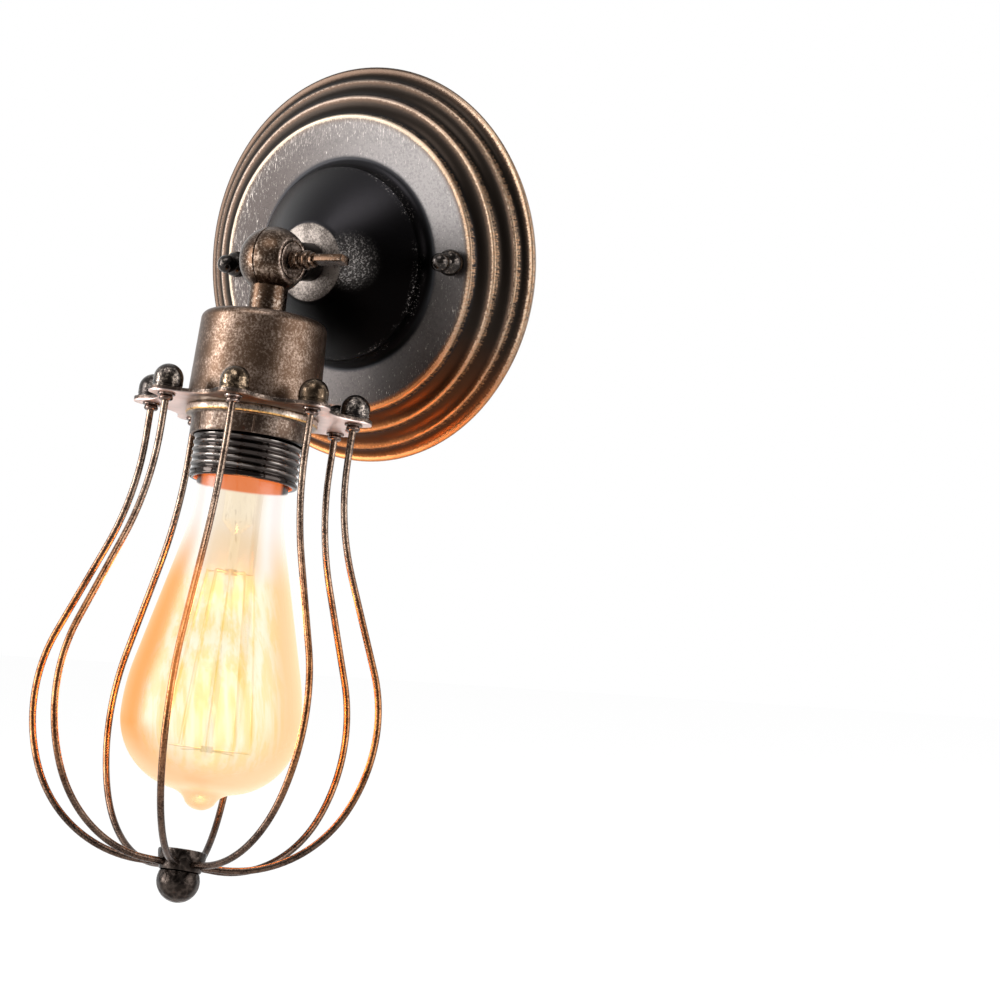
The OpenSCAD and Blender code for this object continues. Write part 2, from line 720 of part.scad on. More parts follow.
module ring_ball_nuts() {
    color(gunmetal) down_head() round_ring() translate([0, 0, ring_top - ring_nut_h]) difference() {
        union() {
            translate([0, 0, ring_nut_r]) sphere(r = ring_nut_r);
            translate([0, 0, ring_nut_r]) cylinder(r = ring_nut_r, h = ring_nut_h - ring_nut_r);
        }
        translate([0, 0, ring_nut_h]) cylinder(r = ring_nut_r + over, h = ring_nut_r);
        translate([0, 0, ring_nut_r - 3]) cylinder(r = wire_r + play, h = ring_nut_h);
    }
}

module ring_collar_nuts() {
    color(gunmetal) down_head() round_ring() tube_between(under_nut_r, wire_r + play, ring_foot,
        ring_foot + under_nut_h);
}

// A bend of round wire in the upright plane: centre (y, z), from one angle to another.
// Angle 0 points out (+Y), angle 90 points down the cage (+Z). Each stretch stops just short of
// its ends, where a bead a hair thicker than the wire joins it to the next.
module wire_bend(centre_r, centre_down, bend, from, to) {
    short = bead_gap / bend * 180 / PI;
    translate([0, centre_r, centre_down]) rotate([90, 0, 90]) rotate([0, 0, from + short])
        rotate_extrude(angle = to - from - 2 * short) translate([bend, 0]) circle(r = wire_r, $fn = 24);
}

module wire_straight(r, down, angle, length) {
    translate([0, r, down]) rotate([-angle, 0, 0]) translate([0, 0, bead_gap])
        cylinder(r = wire_r, h = length - 2 * bead_gap, $fn = 24);
}

module wire_bead(r, down) { translate([0, r, down]) sphere(r = wire_r + bead_swell, $fn = 24); }

module cage_wire(number) {
    color(bronze) down_cage() at_angle(wire_angles[number - 1]) union() {
        wire_straight(ring_r, wire_top, 0, leg_foot - wire_top);
        wire_bead(ring_r, leg_foot);
        wire_bend(ring_r + flare_bend, leg_foot, flare_bend, 180 - flare_angle, 180);
        wire_bead(flare_end_r, flare_end_down);
        wire_straight(flare_end_r, flare_end_down, flare_angle, flank_length);
        wire_bead(belly_start_r, belly_start_down);
        wire_bend(belly_r - belly_bend, belly_down, belly_bend, -flare_angle, 0);
        wire_bead(belly_r, belly_down);
        wire_bend(belly_r - lower_bend, belly_down, lower_bend, 0, belly_turn);
        wire_bead(lower_end_r, lower_end_down);
        wire_bend(level_r, foot_down - foot_bend, foot_bend, belly_turn, 90);
        wire_bead(level_r, foot_down);
        wire_straight(level_r, foot_down, -90, level_r - wire_end_r);
    }
}

module cage_cup() {
    color(bronze) down_cage() difference() {
        translate([0, 0, cup_top]) cylinder(r1 = cup_top_r, r2 = cup_foot_r, h = cup_h);
        for (angle = wire_angles) at_angle(angle) wire_hole();
        translate([0, 0, cup_top - over]) cylinder(r = finial_screw_r + fit, h = cup_h + 2 * over);
    }
}

module wire_hole() {
    translate([0, wire_end_r - fit, foot_down]) rotate([-90, 0, 0]) cylinder(r = wire_r + fit, h = cup_top_r);
}

module finial() {
    color(gunmetal) down_cage() union() {
        difference() {
            translate([0, 0, finial_centre]) sphere(r = finial_r);
            translate([0, 0, cup_foot - finial_r]) cylinder(r = finial_r + over, h = finial_r + fit);
        }
        translate([0, 0, finial_screw_top]) cylinder(r = finial_screw_r, h = finial_centre - finial_screw_top);
    }
}

// Bulb

// The glass outside from the nub back to the neck, drawn in by a wall
function bulb_points(wall) = concat(
    [for (i = [0:bend_steps]) let (t = 90 * i / bend_steps,
        r = nub_r - wall, edge = min(t, 82))
        [r * sin(edge), bulb_tip - nub_r + r * cos(edge)]],
    [for (i = [1:2 * bend_steps]) let (t = 90 - 90 * i / (2 * bend_steps), bend = bulb_end_bend - wall)
        [bulb_r - bulb_end_bend + bend * cos(t), bulb_wide + bend * sin(t)]],
    [for (i = [1:bend_steps]) let (t = cone_angle * i / bend_steps, bend = bulb_side_bend - wall)
        [bulb_r - bulb_side_bend + bend * cos(t), bulb_wide - bend * sin(t)]],
    [for (i = [0:bend_steps]) let (t = cone_angle * (1 - i / bend_steps), bend = bulb_neck_bend + wall)
        [bulb_neck_r + bulb_neck_bend - bend * cos(t), neck_bend_down + bend * sin(t)]],
    [[bulb_neck_r - wall, neck_full]],
    [[glass_foot_r - wall, bulb_base_foot], [glass_foot_r - wall, glass_top - (wall > 0 ? over : 0)]]);

module bulb_glass() {
    color(clear_glass) down_head() difference() {
        rotate_extrude() polygon(concat([[0, bulb_tip]], bulb_points(0), [[0, glass_top]]));
        rotate_extrude() polygon(concat([[0, bulb_tip - glass_wall]], bulb_points(glass_wall),
            [[0, glass_top - over]]));
    }
}

module bulb_base() {
    color(brass) down_head() difference() {
        union() {
            translate([0, 0, bulb_shell_top]) cylinder(r = bulb_thread_r - 0.7, h = bulb_base_foot - bulb_shell_top);
            for (i = [0:4]) translate([0, 0, bulb_shell_top + 2.5 + i * 3.63]) rotate_extrude()
                polygon([[bulb_thread_r - 1.2, -1.5], [bulb_thread_r - 0.7, -1.5], [bulb_thread_r, -0.4],
                    [bulb_thread_r, 0.4], [bulb_thread_r - 0.7, 1.5], [bulb_thread_r - 1.2, 1.5]]);
            translate([0, 0, bulb_base_foot - 2.2]) cylinder(r = bulb_thread_r, h = 2.2);
        }
        translate([0, 0, bulb_shell_top + 1]) cylinder(r = bulb_thread_r - 1.3, h = bulb_tip - bulb_top);
        translate([0, 0, glass_top - fit]) cylinder(r = glass_foot_r + fit, h = bulb_tip - bulb_top);
    }
}

module bulb_insulator() {
    color(phenolic) down_head() translate([0, 0, bulb_insulator_top])
        cylinder(r1 = 5.6, r2 = bulb_thread_r - 1.6, h = bulb_shell_top - bulb_insulator_top);
}

module bulb_contact() {
    color(zinc) down_head() translate([0, 0, bulb_top])
        cylinder(r1 = 3.2, r2 = 4.6, h = bulb_insulator_top - bulb_top);
}

module bulb_stem() {
    color(clear_glass) down_head() union() {
        translate([0, 0, glass_top + 0.4])
            cylinder(r1 = glass_foot_r - glass_wall - fit, r2 = stem_r, h = 6);
        translate([0, 0, glass_top + 6]) cylinder(r = stem_r, h = stem_foot - glass_top - 6);
        translate([0, 0, stem_foot]) cylinder(r1 = stem_r, r2 = rod_r, h = 4);
        translate([0, 0, stem_foot + 4]) cylinder(r = rod_r, h = rod_foot - stem_foot - 4);
    }
}

// A spider of thin hooks that stands out from the stem's rod
module hooks(down, reach, first) {
    for (i = [0:strands / 2 - 1]) rotate([0, 0, first + i * 720 / strands]) translate([0, 0, down])
        rotate([-90, 0, 0]) translate([0, 0, rod_r]) cylinder(r = hook_r, h = reach - rod_r - strand_r);
}

module filament_supports() {
    color(zinc) down_head() union() {
        hooks(hook_top, strand_top_r, 0);
        hooks(hook_foot, strand_foot_r, 360 / strands);
        tube_between(rod_r + 0.5, rod_r + fit, hook_top - 1, hook_top + 1);
        tube_between(rod_r + 0.5, rod_r + fit, hook_foot - 1, hook_foot + 1);
    }
}

module filament() {
    rise = hook_foot - hook_top;
    run = strand_foot_r - strand_top_r;
    color("gold") down_head() for (i = [0:strands - 1]) rotate([0, 0, i * 360 / strands])
        translate([0, strand_top_r, hook_top]) rotate([-atan2(run, rise), 0, 0])
            cylinder(r = strand_r, h = norm([rise, run]), $fn = 16);
}

canopy();
crossbar();
crossbar_studs();
stud_lock_nuts();
canopy_ball_nuts();
ground_screw();
arm_washer();
arm_lock_nut();
arm_nipple();
swivel_arm();
live_lead_arm();
neutral_lead_arm();
swivel_head();
thumb_screw();
head_nipple();
head_lock_nut();
husk();
socket_cap();
socket_body();
screw_shell();
centre_contact();
live_lead_head();
neutral_lead_head();
clamp_ring();
cage_ring();
ring_ball_nuts();
ring_collar_nuts();
cage_wire(1);  // cage_wire_1
cage_wire(2);  // cage_wire_2
cage_wire(3);  // cage_wire_3
cage_wire(4);  // cage_wire_4
cage_wire(5);  // cage_wire_5
cage_wire(6);  // cage_wire_6
cage_wire(7);  // cage_wire_7
cage_wire(8);  // cage_wire_8
cage_cup();
finial();
bulb_glass();
bulb_base();
bulb_insulator();
bulb_contact();
bulb_stem();
filament_supports();
filament();
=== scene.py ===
import json
from math import atan2, cos, degrees, hypot, pi, radians, sin, sqrt

import bpy
from mathutils import Matrix, Vector


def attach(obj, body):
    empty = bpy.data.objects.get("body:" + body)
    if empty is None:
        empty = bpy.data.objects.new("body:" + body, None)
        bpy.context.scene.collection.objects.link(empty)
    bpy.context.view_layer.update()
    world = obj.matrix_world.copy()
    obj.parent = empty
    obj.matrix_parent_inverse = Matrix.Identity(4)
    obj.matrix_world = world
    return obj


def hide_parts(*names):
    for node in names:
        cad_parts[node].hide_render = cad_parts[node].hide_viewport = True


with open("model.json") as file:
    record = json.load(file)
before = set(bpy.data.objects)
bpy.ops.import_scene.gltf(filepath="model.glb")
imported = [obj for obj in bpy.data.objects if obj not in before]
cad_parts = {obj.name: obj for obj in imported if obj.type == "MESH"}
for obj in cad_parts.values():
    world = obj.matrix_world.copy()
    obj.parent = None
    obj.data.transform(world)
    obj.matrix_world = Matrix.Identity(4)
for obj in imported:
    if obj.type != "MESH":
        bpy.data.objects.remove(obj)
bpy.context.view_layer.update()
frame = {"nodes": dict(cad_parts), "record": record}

# Sizes are in millimetres until they are placed.
MM = 0.001
TURN = 2 * pi
node = frame["nodes"]


# ---------------------------------------------------------------- places on the light

class Axis:
    """A line that pieces are turned about: a point, its direction, and the side called zero."""

    def __init__(self, start, along, zero):
        self.start = Vector(start)
        self.along, self.zero = Vector(along).normalized(), Vector(zero).normalized()
        self.side = Vector((1, 0, 0)) if abs(self.along.x) < 0.5 else self.zero.cross(self.along)

    def at(self, r, down, angle=0.0):
        """The place r from the line, so far along it, and turned from zero towards +X."""
        away = self.zero * cos(angle) + self.side * sin(angle)
        return (self.start + self.along * down + away * r) * MM


# The knuckle's middle, how far the head leans out, and how much more the cage leans than the head.
PIVOT = Vector((0, -59.5, 0))
TILT, LEAN = radians(12), radians(2.1)
LEAN_DOWN = 51.05
WALL = Axis((0, 0, 0), (0, -1, 0), (0, 0, 1))
ARM = Axis(PIVOT, (0, 1, 0), (0, 0, 1))
CROSS = Axis(PIVOT, (1, 0, 0), (0, 0, 1))
HEAD = Axis(PIVOT, (0, -sin(TILT), -cos(TILT)), (0, -cos(TILT), sin(TILT)))
CAGE_ALONG = Vector((0, -sin(TILT + LEAN), -cos(TILT + LEAN)))
CAGE = Axis(HEAD.at(0, LEAN_DOWN) / MM - CAGE_ALONG * LEAN_DOWN, CAGE_ALONG, (0, CAGE_ALONG.z, -CAGE_ALONG.y))
WIRE_ANGLES = [radians(26 + 45 * i) for i in range(8)]
# Level directions (x, y) as the camera sees them, by which a finish tells one side from another.
TO_RIGHT, TO_LEFT, TO_FRONT = (0.80, 0.60), (-0.80, -0.60), (0.60, -0.80)


# ---------------------------------------------------------------- camera

def set_camera():
    """The photo's camera: how far round and up it stands, its roll, and where it sees the knuckle."""
    azimuth, height, roll = radians(36.692), radians(-1.498), radians(0.537)
    distance, focal_px, mid_px = 1299.9, 3912.06, 500
    looks_at = PIVOT + Vector((0, 0, -0.1))
    seen_at = (273.002, 260.697)
    back = Vector((sin(azimuth) * cos(height), -cos(azimuth) * cos(height), sin(height)))
    right = Vector((cos(azimuth), sin(azimuth), 0))
    up = back.cross(right)
    rows = Matrix((right * cos(roll) + up * sin(roll), up * cos(roll) - right * sin(roll), back))
    sight = Vector(((seen_at[0] - mid_px) / focal_px, (mid_px - seen_at[1]) / focal_px, -1)).normalized()
    turn = Vector((0, 0, -1)).rotation_difference(sight).to_matrix()
    lens = bpy.data.cameras.new("camera")
    lens.sensor_width, lens.lens = 36, focal_px / (2 * mid_px) * 36
    lens.clip_start, lens.clip_end = 0.05, 50
    camera = bpy.data.objects.new("camera", lens)
    bpy.context.collection.objects.link(camera)
    place = looks_at + back * distance
    camera.matrix_world = Matrix.Translation(place * MM) @ (turn @ rows).transposed().to_4x4()
    bpy.context.scene.camera = camera


set_camera()


# ---------------------------------------------------------------- studio

def soft_box(name, place, size, power, colour=(1, 1, 1)):
    """A square lamp that faces the light's middle."""
    lamp = bpy.data.lights.new(name, "AREA")
    lamp.shape, lamp.size, lamp.size_y, lamp.energy, lamp.color = "RECTANGLE", size[0], size[1], power, colour
    holder = bpy.data.objects.new(name, lamp)
    holder.location = place
    holder.rotation_euler = (Vector((0, -0.07, -0.07)) - Vector(place)).to_track_quat("-Z", "Y").to_euler()
    bpy.context.collection.objects.link(holder)


# How bright the studio's dim side is in reflections, and its soft light from all round.
DIM_ROOM, SOFT_LEVEL = 0.22, 0.38


def set_world():
    """White behind the light; in reflections the studio is bright on the left, above and behind, else dim."""
    world = bpy.data.worlds.new("studio")
    world.use_nodes = True
    bpy.context.scene.world = world
    tree = world.node_tree

    def add(kind, how, *values):
        made = tree.nodes.new(kind)
        if how:
            made.operation = how
        for entry, value in zip(made.inputs, values):
            if isinstance(value, bpy.types.NodeSocket):
                tree.links.new(value, entry)
            else:
                entry.default_value = value
        return made

    def slope(value, low, high):
        made = tree.nodes.new("ShaderNodeMapRange")
        made.interpolation_type = "SMOOTHSTEP"
        made.inputs["From Min"].default_value, made.inputs["From Max"].default_value = low, high
        tree.links.new(value, made.inputs["Value"])
        return made.outputs["Result"]

    def share(way, direction):
        return add("ShaderNodeVectorMath", "DOT_PRODUCT", way, direction).outputs["Value"]

    ray = tree.nodes.new("ShaderNodeLightPath").outputs
    way = tree.nodes.new("ShaderNodeTexCoord").outputs["Generated"]
    lit = slope(share(way, (-0.76, -0.30, 0.57)), 0.05, 0.75)
    rear = slope(share(way, (0.0, 1.0, 0.0)), 0.0, 0.5)
    room = add("ShaderNodeMath", "MAXIMUM", lit, rear).outputs[0]
    room = add("ShaderNodeMath", "MULTIPLY_ADD", room, 1 - DIM_ROOM, DIM_ROOM).outputs[0]
    room = add("ShaderNodeMath", "MULTIPLY", room, ray["Is Glossy Ray"]).outputs[0]
    clear = add("ShaderNodeMath", "MAXIMUM", ray["Is Camera Ray"], ray["Is Transmission Ray"]).outputs[0]
    seen = add("ShaderNodeMath", "MAXIMUM", clear, room).outputs[0]
    direct = add("ShaderNodeMath", "MAXIMUM", clear, ray["Is Glossy Ray"]).outputs[0]
    soft = add("ShaderNodeMath", "SUBTRACT", 1.0, direct).outputs[0]
    level = add("ShaderNodeMath", "MULTIPLY_ADD", soft, SOFT_LEVEL, seen).outputs[0]
    tree.links.new(level, tree.nodes["Background"].inputs["Strength"])
    tree.nodes["Background"].inputs["Color"].default_value = (1, 1, 1, 1)


set_world()
bpy.context.scene.view_settings.view_transform = "Standard"


def around(azimuth, height, distance):
    """A place seen from the light's middle: 0 degrees is straight out from the wall, 90 towards +X."""
    a, h = radians(azimuth), radians(height)
    return (distance * sin(a) * cos(h), -0.07 - distance * cos(a) * cos(h), -0.07 + distance * sin(h))


soft_box("left_strip", around(-47, 12, 1.3), (0.54, 1.1), 23)
soft_box("right_box", around(98, 6, 1.3), (1.05, 1.1), 13)
soft_box("front_strip", around(-19, 9, 1.3), (0.2, 0.55), 3)
soft_box("top_lamp", around(15, 62, 1.4), (0.8, 0.6), 7)


# ---------------------------------------------------------------- finishes

class Level:
    """A number that varies over a surface. Sums on it add Math nodes."""

    def __init__(self, finish, socket):
        self.finish, self.socket = finish, socket

    def _sum(self, how, *terms, clamp=False):
        settings = {"operation": how, "use_clamp": clamp}
        return self.finish.add("ShaderNodeMath", settings, dict(enumerate(terms)))

    def __add__(self, other):
        return self._sum("ADD", self, other)

    __radd__ = __add__

    def __sub__(self, other):
        return self._sum("SUBTRACT", self, other)

    def __rsub__(self, other):
        return self._sum("SUBTRACT", other, self)

    def __mul__(self, other):
        return self._sum("MULTIPLY", self, other)

    __rmul__ = __mul__

    def __pow__(self, other):
        return self._sum("POWER", self, other)

    def __abs__(self):
        return self._sum("ABSOLUTE", self)

    def held(self):
        """Kept between 0 and 1."""
        return self._sum("ADD", self, 0.0, clamp=True)

    def most(self, other):
        return self._sum("MAXIMUM", self, other)

    def step(self, low, high):
        """0 up to low, 1 from high, and a soft slope between."""
        return self.finish.add("ShaderNodeMapRange", {"interpolation_type": "SMOOTHSTEP"},
                               {"Value": self, "From Min": low, "From Max": high})


class Finish:
    """One surface: a Principled shader and the nodes that feed it."""

    def __init__(self, name, **fixed):
        self.material = bpy.data.materials.new(name)
        self.material.use_nodes = True
        self.tree = self.material.node_tree
        self.shader = self.tree.nodes["Principled BSDF"]
        self.place = self.add("ShaderNodeTexCoord", {}, {}, "Object")
        self.set(**fixed)

    def add(self, kind, settings, sockets, out=0):
        """One node: its settings, then the values or links of its sockets."""
        made = self.tree.nodes.new(kind)
        for what, value in settings.items():
            setattr(made, what, value)
        for key, value in sockets.items():
            self.feed(made.inputs[key], value)
        return Level(self, made.outputs[out])

    def feed(self, entry, value):
        value = value.socket if isinstance(value, Level) else value
        if isinstance(value, bpy.types.NodeSocket):
            self.tree.links.new(value, entry)
        elif isinstance(value, (tuple, list)) and entry.type == "RGBA" and len(value) == 3:
            entry.default_value = (*value, 1)
        else:
            entry.default_value = value

    def set(self, **values):
        for what, value in values.items():
            self.feed(self.shader.inputs[what.replace("_", " ")], value)
        return self

    def noise(self, scale, detail=3, rough=0.6, at=None, twist=0.0):
        """Clouds of grain, from 0 to 1; a twist folds them."""
        sockets = {"Vector": at or self.place, "Scale": scale, "Detail": detail,
                   "Roughness": rough, "Distortion": twist}
        return self.add("ShaderNodeTexNoise", {}, sockets, "Fac")

    def cells(self, scale):
        """How far the nearest of many scattered points lies."""
        sockets = {"Vector": self.place, "Scale": scale}
        return self.add("ShaderNodeTexVoronoi", {"feature": "F1"}, sockets, "Distance")

    def mix(self, first, second, mask):
        return self.add("ShaderNodeMix", {"data_type": "RGBA"}, {0: mask, 6: first, 7: second}, 2)

    def turned(self, turn, scale):
        """Coordinates scaled along each axis, then turned, so that grain becomes strokes."""
        sockets = {"Vector": self.place, "Rotation": turn, "Scale": scale}
        return self.add("ShaderNodeMapping", {}, sockets)

    def vector(self, how, first, second, out=0):
        return self.add("ShaderNodeVectorMath", {"operation": how}, {0: first, 1: second}, out)

    def along(self, line):
        """How far along a line the surface lies, in millimetres."""
        moved = self.vector("SUBTRACT", self.place, line.start * MM)
        return self.vector("DOT_PRODUCT", moved, line.along / MM, "Value")

    def towards(self, way, middle):
        """How far past a middle the surface lies in a level direction, in millimetres."""
        return self.vector("DOT_PRODUCT", self.place, Vector((*way, 0)) / MM, "Value") - middle

    def away(self, line):
        """How far from a line the surface lies, in millimetres."""
        moved = self.vector("SUBTRACT", self.place, line.start * MM)
        across = self.vector("CROSS_PRODUCT", moved, line.along / MM)
        return self.add("ShaderNodeVectorMath", {"operation": "LENGTH"}, {0: across}, "Value")

    def from_point(self, point):
        """How far from a point the surface lies, in millimetres."""
        return self.vector("DISTANCE", self.place, Vector(point) * MM, "Value") * (1 / MM)

    def rough_up(self, height, strength, depth=0.0002):
        """Small dents in the shine; the depth is in metres."""
        sockets = {"Height": height, "Strength": strength, "Distance": depth}
        self.feed(self.shader.inputs["Normal"], self.add("ShaderNodeBump", {}, sockets))
        return self


def speckled(name, dark, light, amount=0.5, rough=0.35, metal=1.0, grain=900, bump=0.25):
    """Hand-rubbed bronze: a dark coat that is worn to lighter metal in fine specks and soft patches."""
    f = Finish(name, Metallic=metal)
    fine = f.noise(grain, 4, 0.7)
    patch = f.noise(grain / 9, 3, 0.6)
    worn = (fine * 0.65 + patch * 0.35).step(0.62 - 0.22 * amount, 0.70)
    f.set(Base_Color=f.mix(dark, light, worn), Roughness=rough + 0.2 * fine - 0.1)
    return f.rough_up(fine * 0.6 + patch, bump)


# The gold lines on the plate, rubbed gold that is partly a painted highlight: how far out each runs, its
# width, and how much it fades at the lit upper left.
GOLD_LINES = ((67.3, 1.3, 0.92), (62.9, 0.40, 0.1), (57.3, 0.85, 0.1), (50.8, 1.30, 0.0))
# Where the dome's pale specks gather, and how far they spread.
BURST_AT, BURST_R = (15.2, -37, 0.5), 12


def plate_finish():
    """Black-brown plate: gold rubbed along each ridge, partly a painted highlight, fine scratches on the
    flat, a pale end on the dome; painted light sheens the ridge flanks, the flat's right and the dome's top,
    darkens the flat's lower right and turns the foot copper.
    """
    f = Finish("plate_bronze", Metallic=1)
    r, h = f.away(WALL), f.along(WALL)
    flat = f.vector("MULTIPLY", f.place, (1, 0, 1))
    spoke = f.add("ShaderNodeVectorMath", {"operation": "NORMALIZE"}, {0: flat})

    def facing(x, z, low, high):
        """1 on the side of the plate that lies this way from its centre, 0 on the other."""
        return f.vector("DOT_PRODUCT", spoke, (x, 0, z), "Value").step(low, high)

    # lit_side is the upper left, where the light falls. What it changes is painted light: the gold lines
    # fade, the ridge sheen weakens, the flat's scratches thicken and the gold turns paler there.
    lit_side, right = facing(-0.8, 0.6, -0.5, 0.6), facing(1, 0, -1, 1)
    foot, painted_shade = facing(0.15, -0.99, 0.5, 0.95), facing(0.76, -0.65, 0.42, 0.92)
    step = f.add("ShaderNodeCombineXYZ", {}, {"Y": r * 0.007})
    strokes = f.noise(150, 4, 0.8, f.vector("ADD", spoke, step))
    fine, patch = f.noise(1400, 4, 0.75), f.noise(110, 3)
    edge = r + (strokes - 0.5) * 2.2 + (fine - 0.5) * 1.2
    # glow is a painted sheen along the inner flank of each ridge, a little weaker on the lit side.
    glow = gold = 0
    for crest, width, faint in GOLD_LINES:
        fall = 1 - edge.step(crest - 0.1, crest + 0.5)
        glow = edge.step(crest - width - 1.8, crest - width + 0.2) * fall + glow
        gold = edge.step(crest - width - 0.3, crest - width + 0.25) * fall * (1 - lit_side * faint) + gold
    gold = (gold * (0.40 + 0.8 * patch)).held()
    glow = (glow * (0.9 - 0.3 * lit_side)).held()
    rub = f.noise(1, 3, 0.7, f.turned((0, 0.7, 0), (2600, 900, 420)), 0.6)
    rub = rub.most(f.noise(1, 3, 0.7, f.turned((0, -0.9, 0), (2600, 900, 520)), 0.6))
    on_flat = r.step(36, 37.5) * (1 - r.step(49.8, 50.4))
    near_rim = r.step(40, 50)
    rub = rub.step(0.655 - 0.05 * near_rim - 0.035 * lit_side - 0.05 * near_rim * lit_side, 0.76) * on_flat
    burst = (1 - f.from_point(BURST_AT).step(0, BURST_R)) ** 1.6
    burst = burst * (0.12 + fine.step(0.49, 0.66) * (0.7 + patch))
    rim = r.step(31.2, 32.4) * (1 - r.step(33.0, 34.0)) * right
    rim = rim * fine.step(0.56, 0.68) * patch.step(0.4, 0.6) * 0.7
    end = (1 - r.step(12.8, 13.4)) * h.step(39.0, 39.3)
    # Painted reflection and shade: the flat is paler on its right and darker towards its lower right.
    slate = f.mix((0.050, 0.042, 0.039), (0.165, 0.153, 0.149), right)
    slate = f.mix(slate, (0.046, 0.041, 0.039), painted_shade)
    # Painted sheen: the dome's black is lighter on its upper side.
    dome = f.mix((0.0022, 0.0018, 0.0018), (0.017, 0.016, 0.0175), facing(-0.35, 0.94, -0.5, 0.95))
    coat = f.mix((0.0130, 0.0128, 0.0138), (0.0165, 0.0125, 0.0100), r.step(51, 52))
    coat = f.mix(coat, dome, 1 - r.step(34, 36))
    # Painted light from the bulb: at the plate's foot the coat, the ridge sheen and the gold turn
    # copper-orange.
    coat = f.mix(coat, (0.060, 0.022, 0.009), foot * r.step(51, 52))
    coat = f.mix(coat, slate, on_flat * (0.55 + 0.35 * patch + 0.45 * fine.step(0.38, 0.62)))
    coat = f.mix(coat, (0.40, 0.36, 0.33), rub)
    coat = f.mix(coat, (0.85, 0.78, 0.74), (burst + rim * 0.6).held())
    coat = f.mix(coat, f.mix((0.072, 0.045, 0.031), (0.20, 0.070, 0.022), foot), glow)
    metal = f.mix((0.34, 0.185, 0.100), (0.56, 0.42, 0.30), strokes.step(0.38, 0.6))
    metal = f.mix(metal, (0.62, 0.26, 0.095), foot)
    metal = f.mix(metal, f.mix((0.43, 0.355, 0.275), (0.24, 0.185, 0.15), r.step(52, 54)), lit_side)
    coat = f.mix(coat, metal, gold)
    face = f.mix((0.055, 0.046, 0.041), (0.20, 0.172, 0.153), (fine * 0.6 + patch * 0.4).step(0.40, 0.58))
    coat = f.mix(coat, face, end)
    f.set(Base_Color=coat, Roughness=0.28 + 0.14 * fine + 0.10 * gold + 0.12 * end + 0.16 * on_flat)
    return f.rough_up(fine * 0.5 + rub * 0.4 + end * f.noise(420, 2) * 1.2, 0.22)


def arm_finish():
    """The ball is rubbed brown; its flat cheek is painted paler as a highlight, and the stem behind it is
    painted near black as shade.
    """
    f = Finish("arm_bronze", Metallic=1)
    out = f.from_point(PIVOT)
    fine, patch = f.noise(1100, 4, 0.7), f.noise(120, 3)
    worn = (fine * 0.6 + patch * 0.4).step(0.46, 0.64)
    ball = f.mix((0.050, 0.030, 0.019), (0.33, 0.25, 0.195), worn)
    # Painted highlight: the flat cheek is paler.
    cheek = f.mix((0.09, 0.06, 0.045), (0.58, 0.46, 0.385), worn)
    ball = f.mix(ball, cheek, f.towards((1, 0), 0).step(7.75, 8.05))
    # Painted shade: the stem beyond the ball is near black.
    stem = f.mix((0.006, 0.005, 0.005), (0.07, 0.05, 0.038), worn * 0.5)
    f.set(Base_Color=f.mix(ball, stem, out.step(11.1, 11.9)), Roughness=0.24 + 0.16 * fine)
    return f.rough_up(fine * 0.5 + patch, 0.2)


def wire_finish():
    """Bronze wire: painted copper where the bulb's light falls beside it, dark at its foot, and a painted
    glare in front of the bulb.
    """
    f = Finish("wire_bronze", Metallic=1, Emission_Strength=0.5)
    down = f.along(CAGE)
    fine, patch = f.noise(1500, 4, 0.75), f.noise(150, 3)
    worn = (fine * 0.65 + patch * 0.35).step(0.38, 0.62)
    # Painted bulb light: beside the bulb the wire turns copper.
    painted_bulb_light, foot = down.step(80, 125), down.step(160, 192)
    light = f.mix(f.mix((0.32, 0.232, 0.175), (0.36, 0.160, 0.068), painted_bulb_light), (0.125, 0.082, 0.060), foot)
    dark = f.mix(f.mix((0.062, 0.040, 0.030), (0.085, 0.031, 0.013), painted_bulb_light), (0.018, 0.012, 0.010), foot)
    # Painted glare: the wire glows orange where it passes in front of the bulb.
    across = abs(f.towards(TO_RIGHT, -51) + (down - 120) * 0.10)
    glare = (1 - across.step(8, 22)) * f.towards(TO_FRONT, 68).step(18, 30)
    glare = glare * down.step(102, 116) * (1 - down.step(153, 161))
    f.set(Base_Color=f.mix(dark, light, worn), Roughness=0.18 + 0.16 * fine,
          Emission_Color=f.mix((0, 0, 0), (1.0, 0.32, 0.08), glare))
    return f.rough_up(fine * 0.6 + patch, 0.2)


def clamp_finish():
    """Rubbed bronze; the flange is painted cream as a highlight, with a painted golden glint along its lower
    edge.
    """
    f = Finish("clamp_bronze", Metallic=1)
    down = f.along(HEAD)
    fine, patch = f.noise(1200, 4, 0.7), f.noise(130, 3, 0.6)
    # Painted highlight: the flange is worn lighter and cream, with a golden line at its foot.
    worn = (fine * 0.65 + patch * 0.35 + 0.12 * (1 - down.step(54.2, 54.9))).step(0.455, 0.70)
    light = f.mix((0.66, 0.56, 0.47), (0.36, 0.285, 0.235), down.step(54.2, 54.9))
    light = f.mix(light, (0.80, 0.46, 0.16), down.step(53.7, 54.0) * (1 - down.step(54.3, 54.6)))
    f.set(Base_Color=f.mix((0.065, 0.042, 0.030), light, worn), Roughness=0.22 + 0.2 * fine)
    return f.rough_up(fine * 0.6 + patch, 0.25)


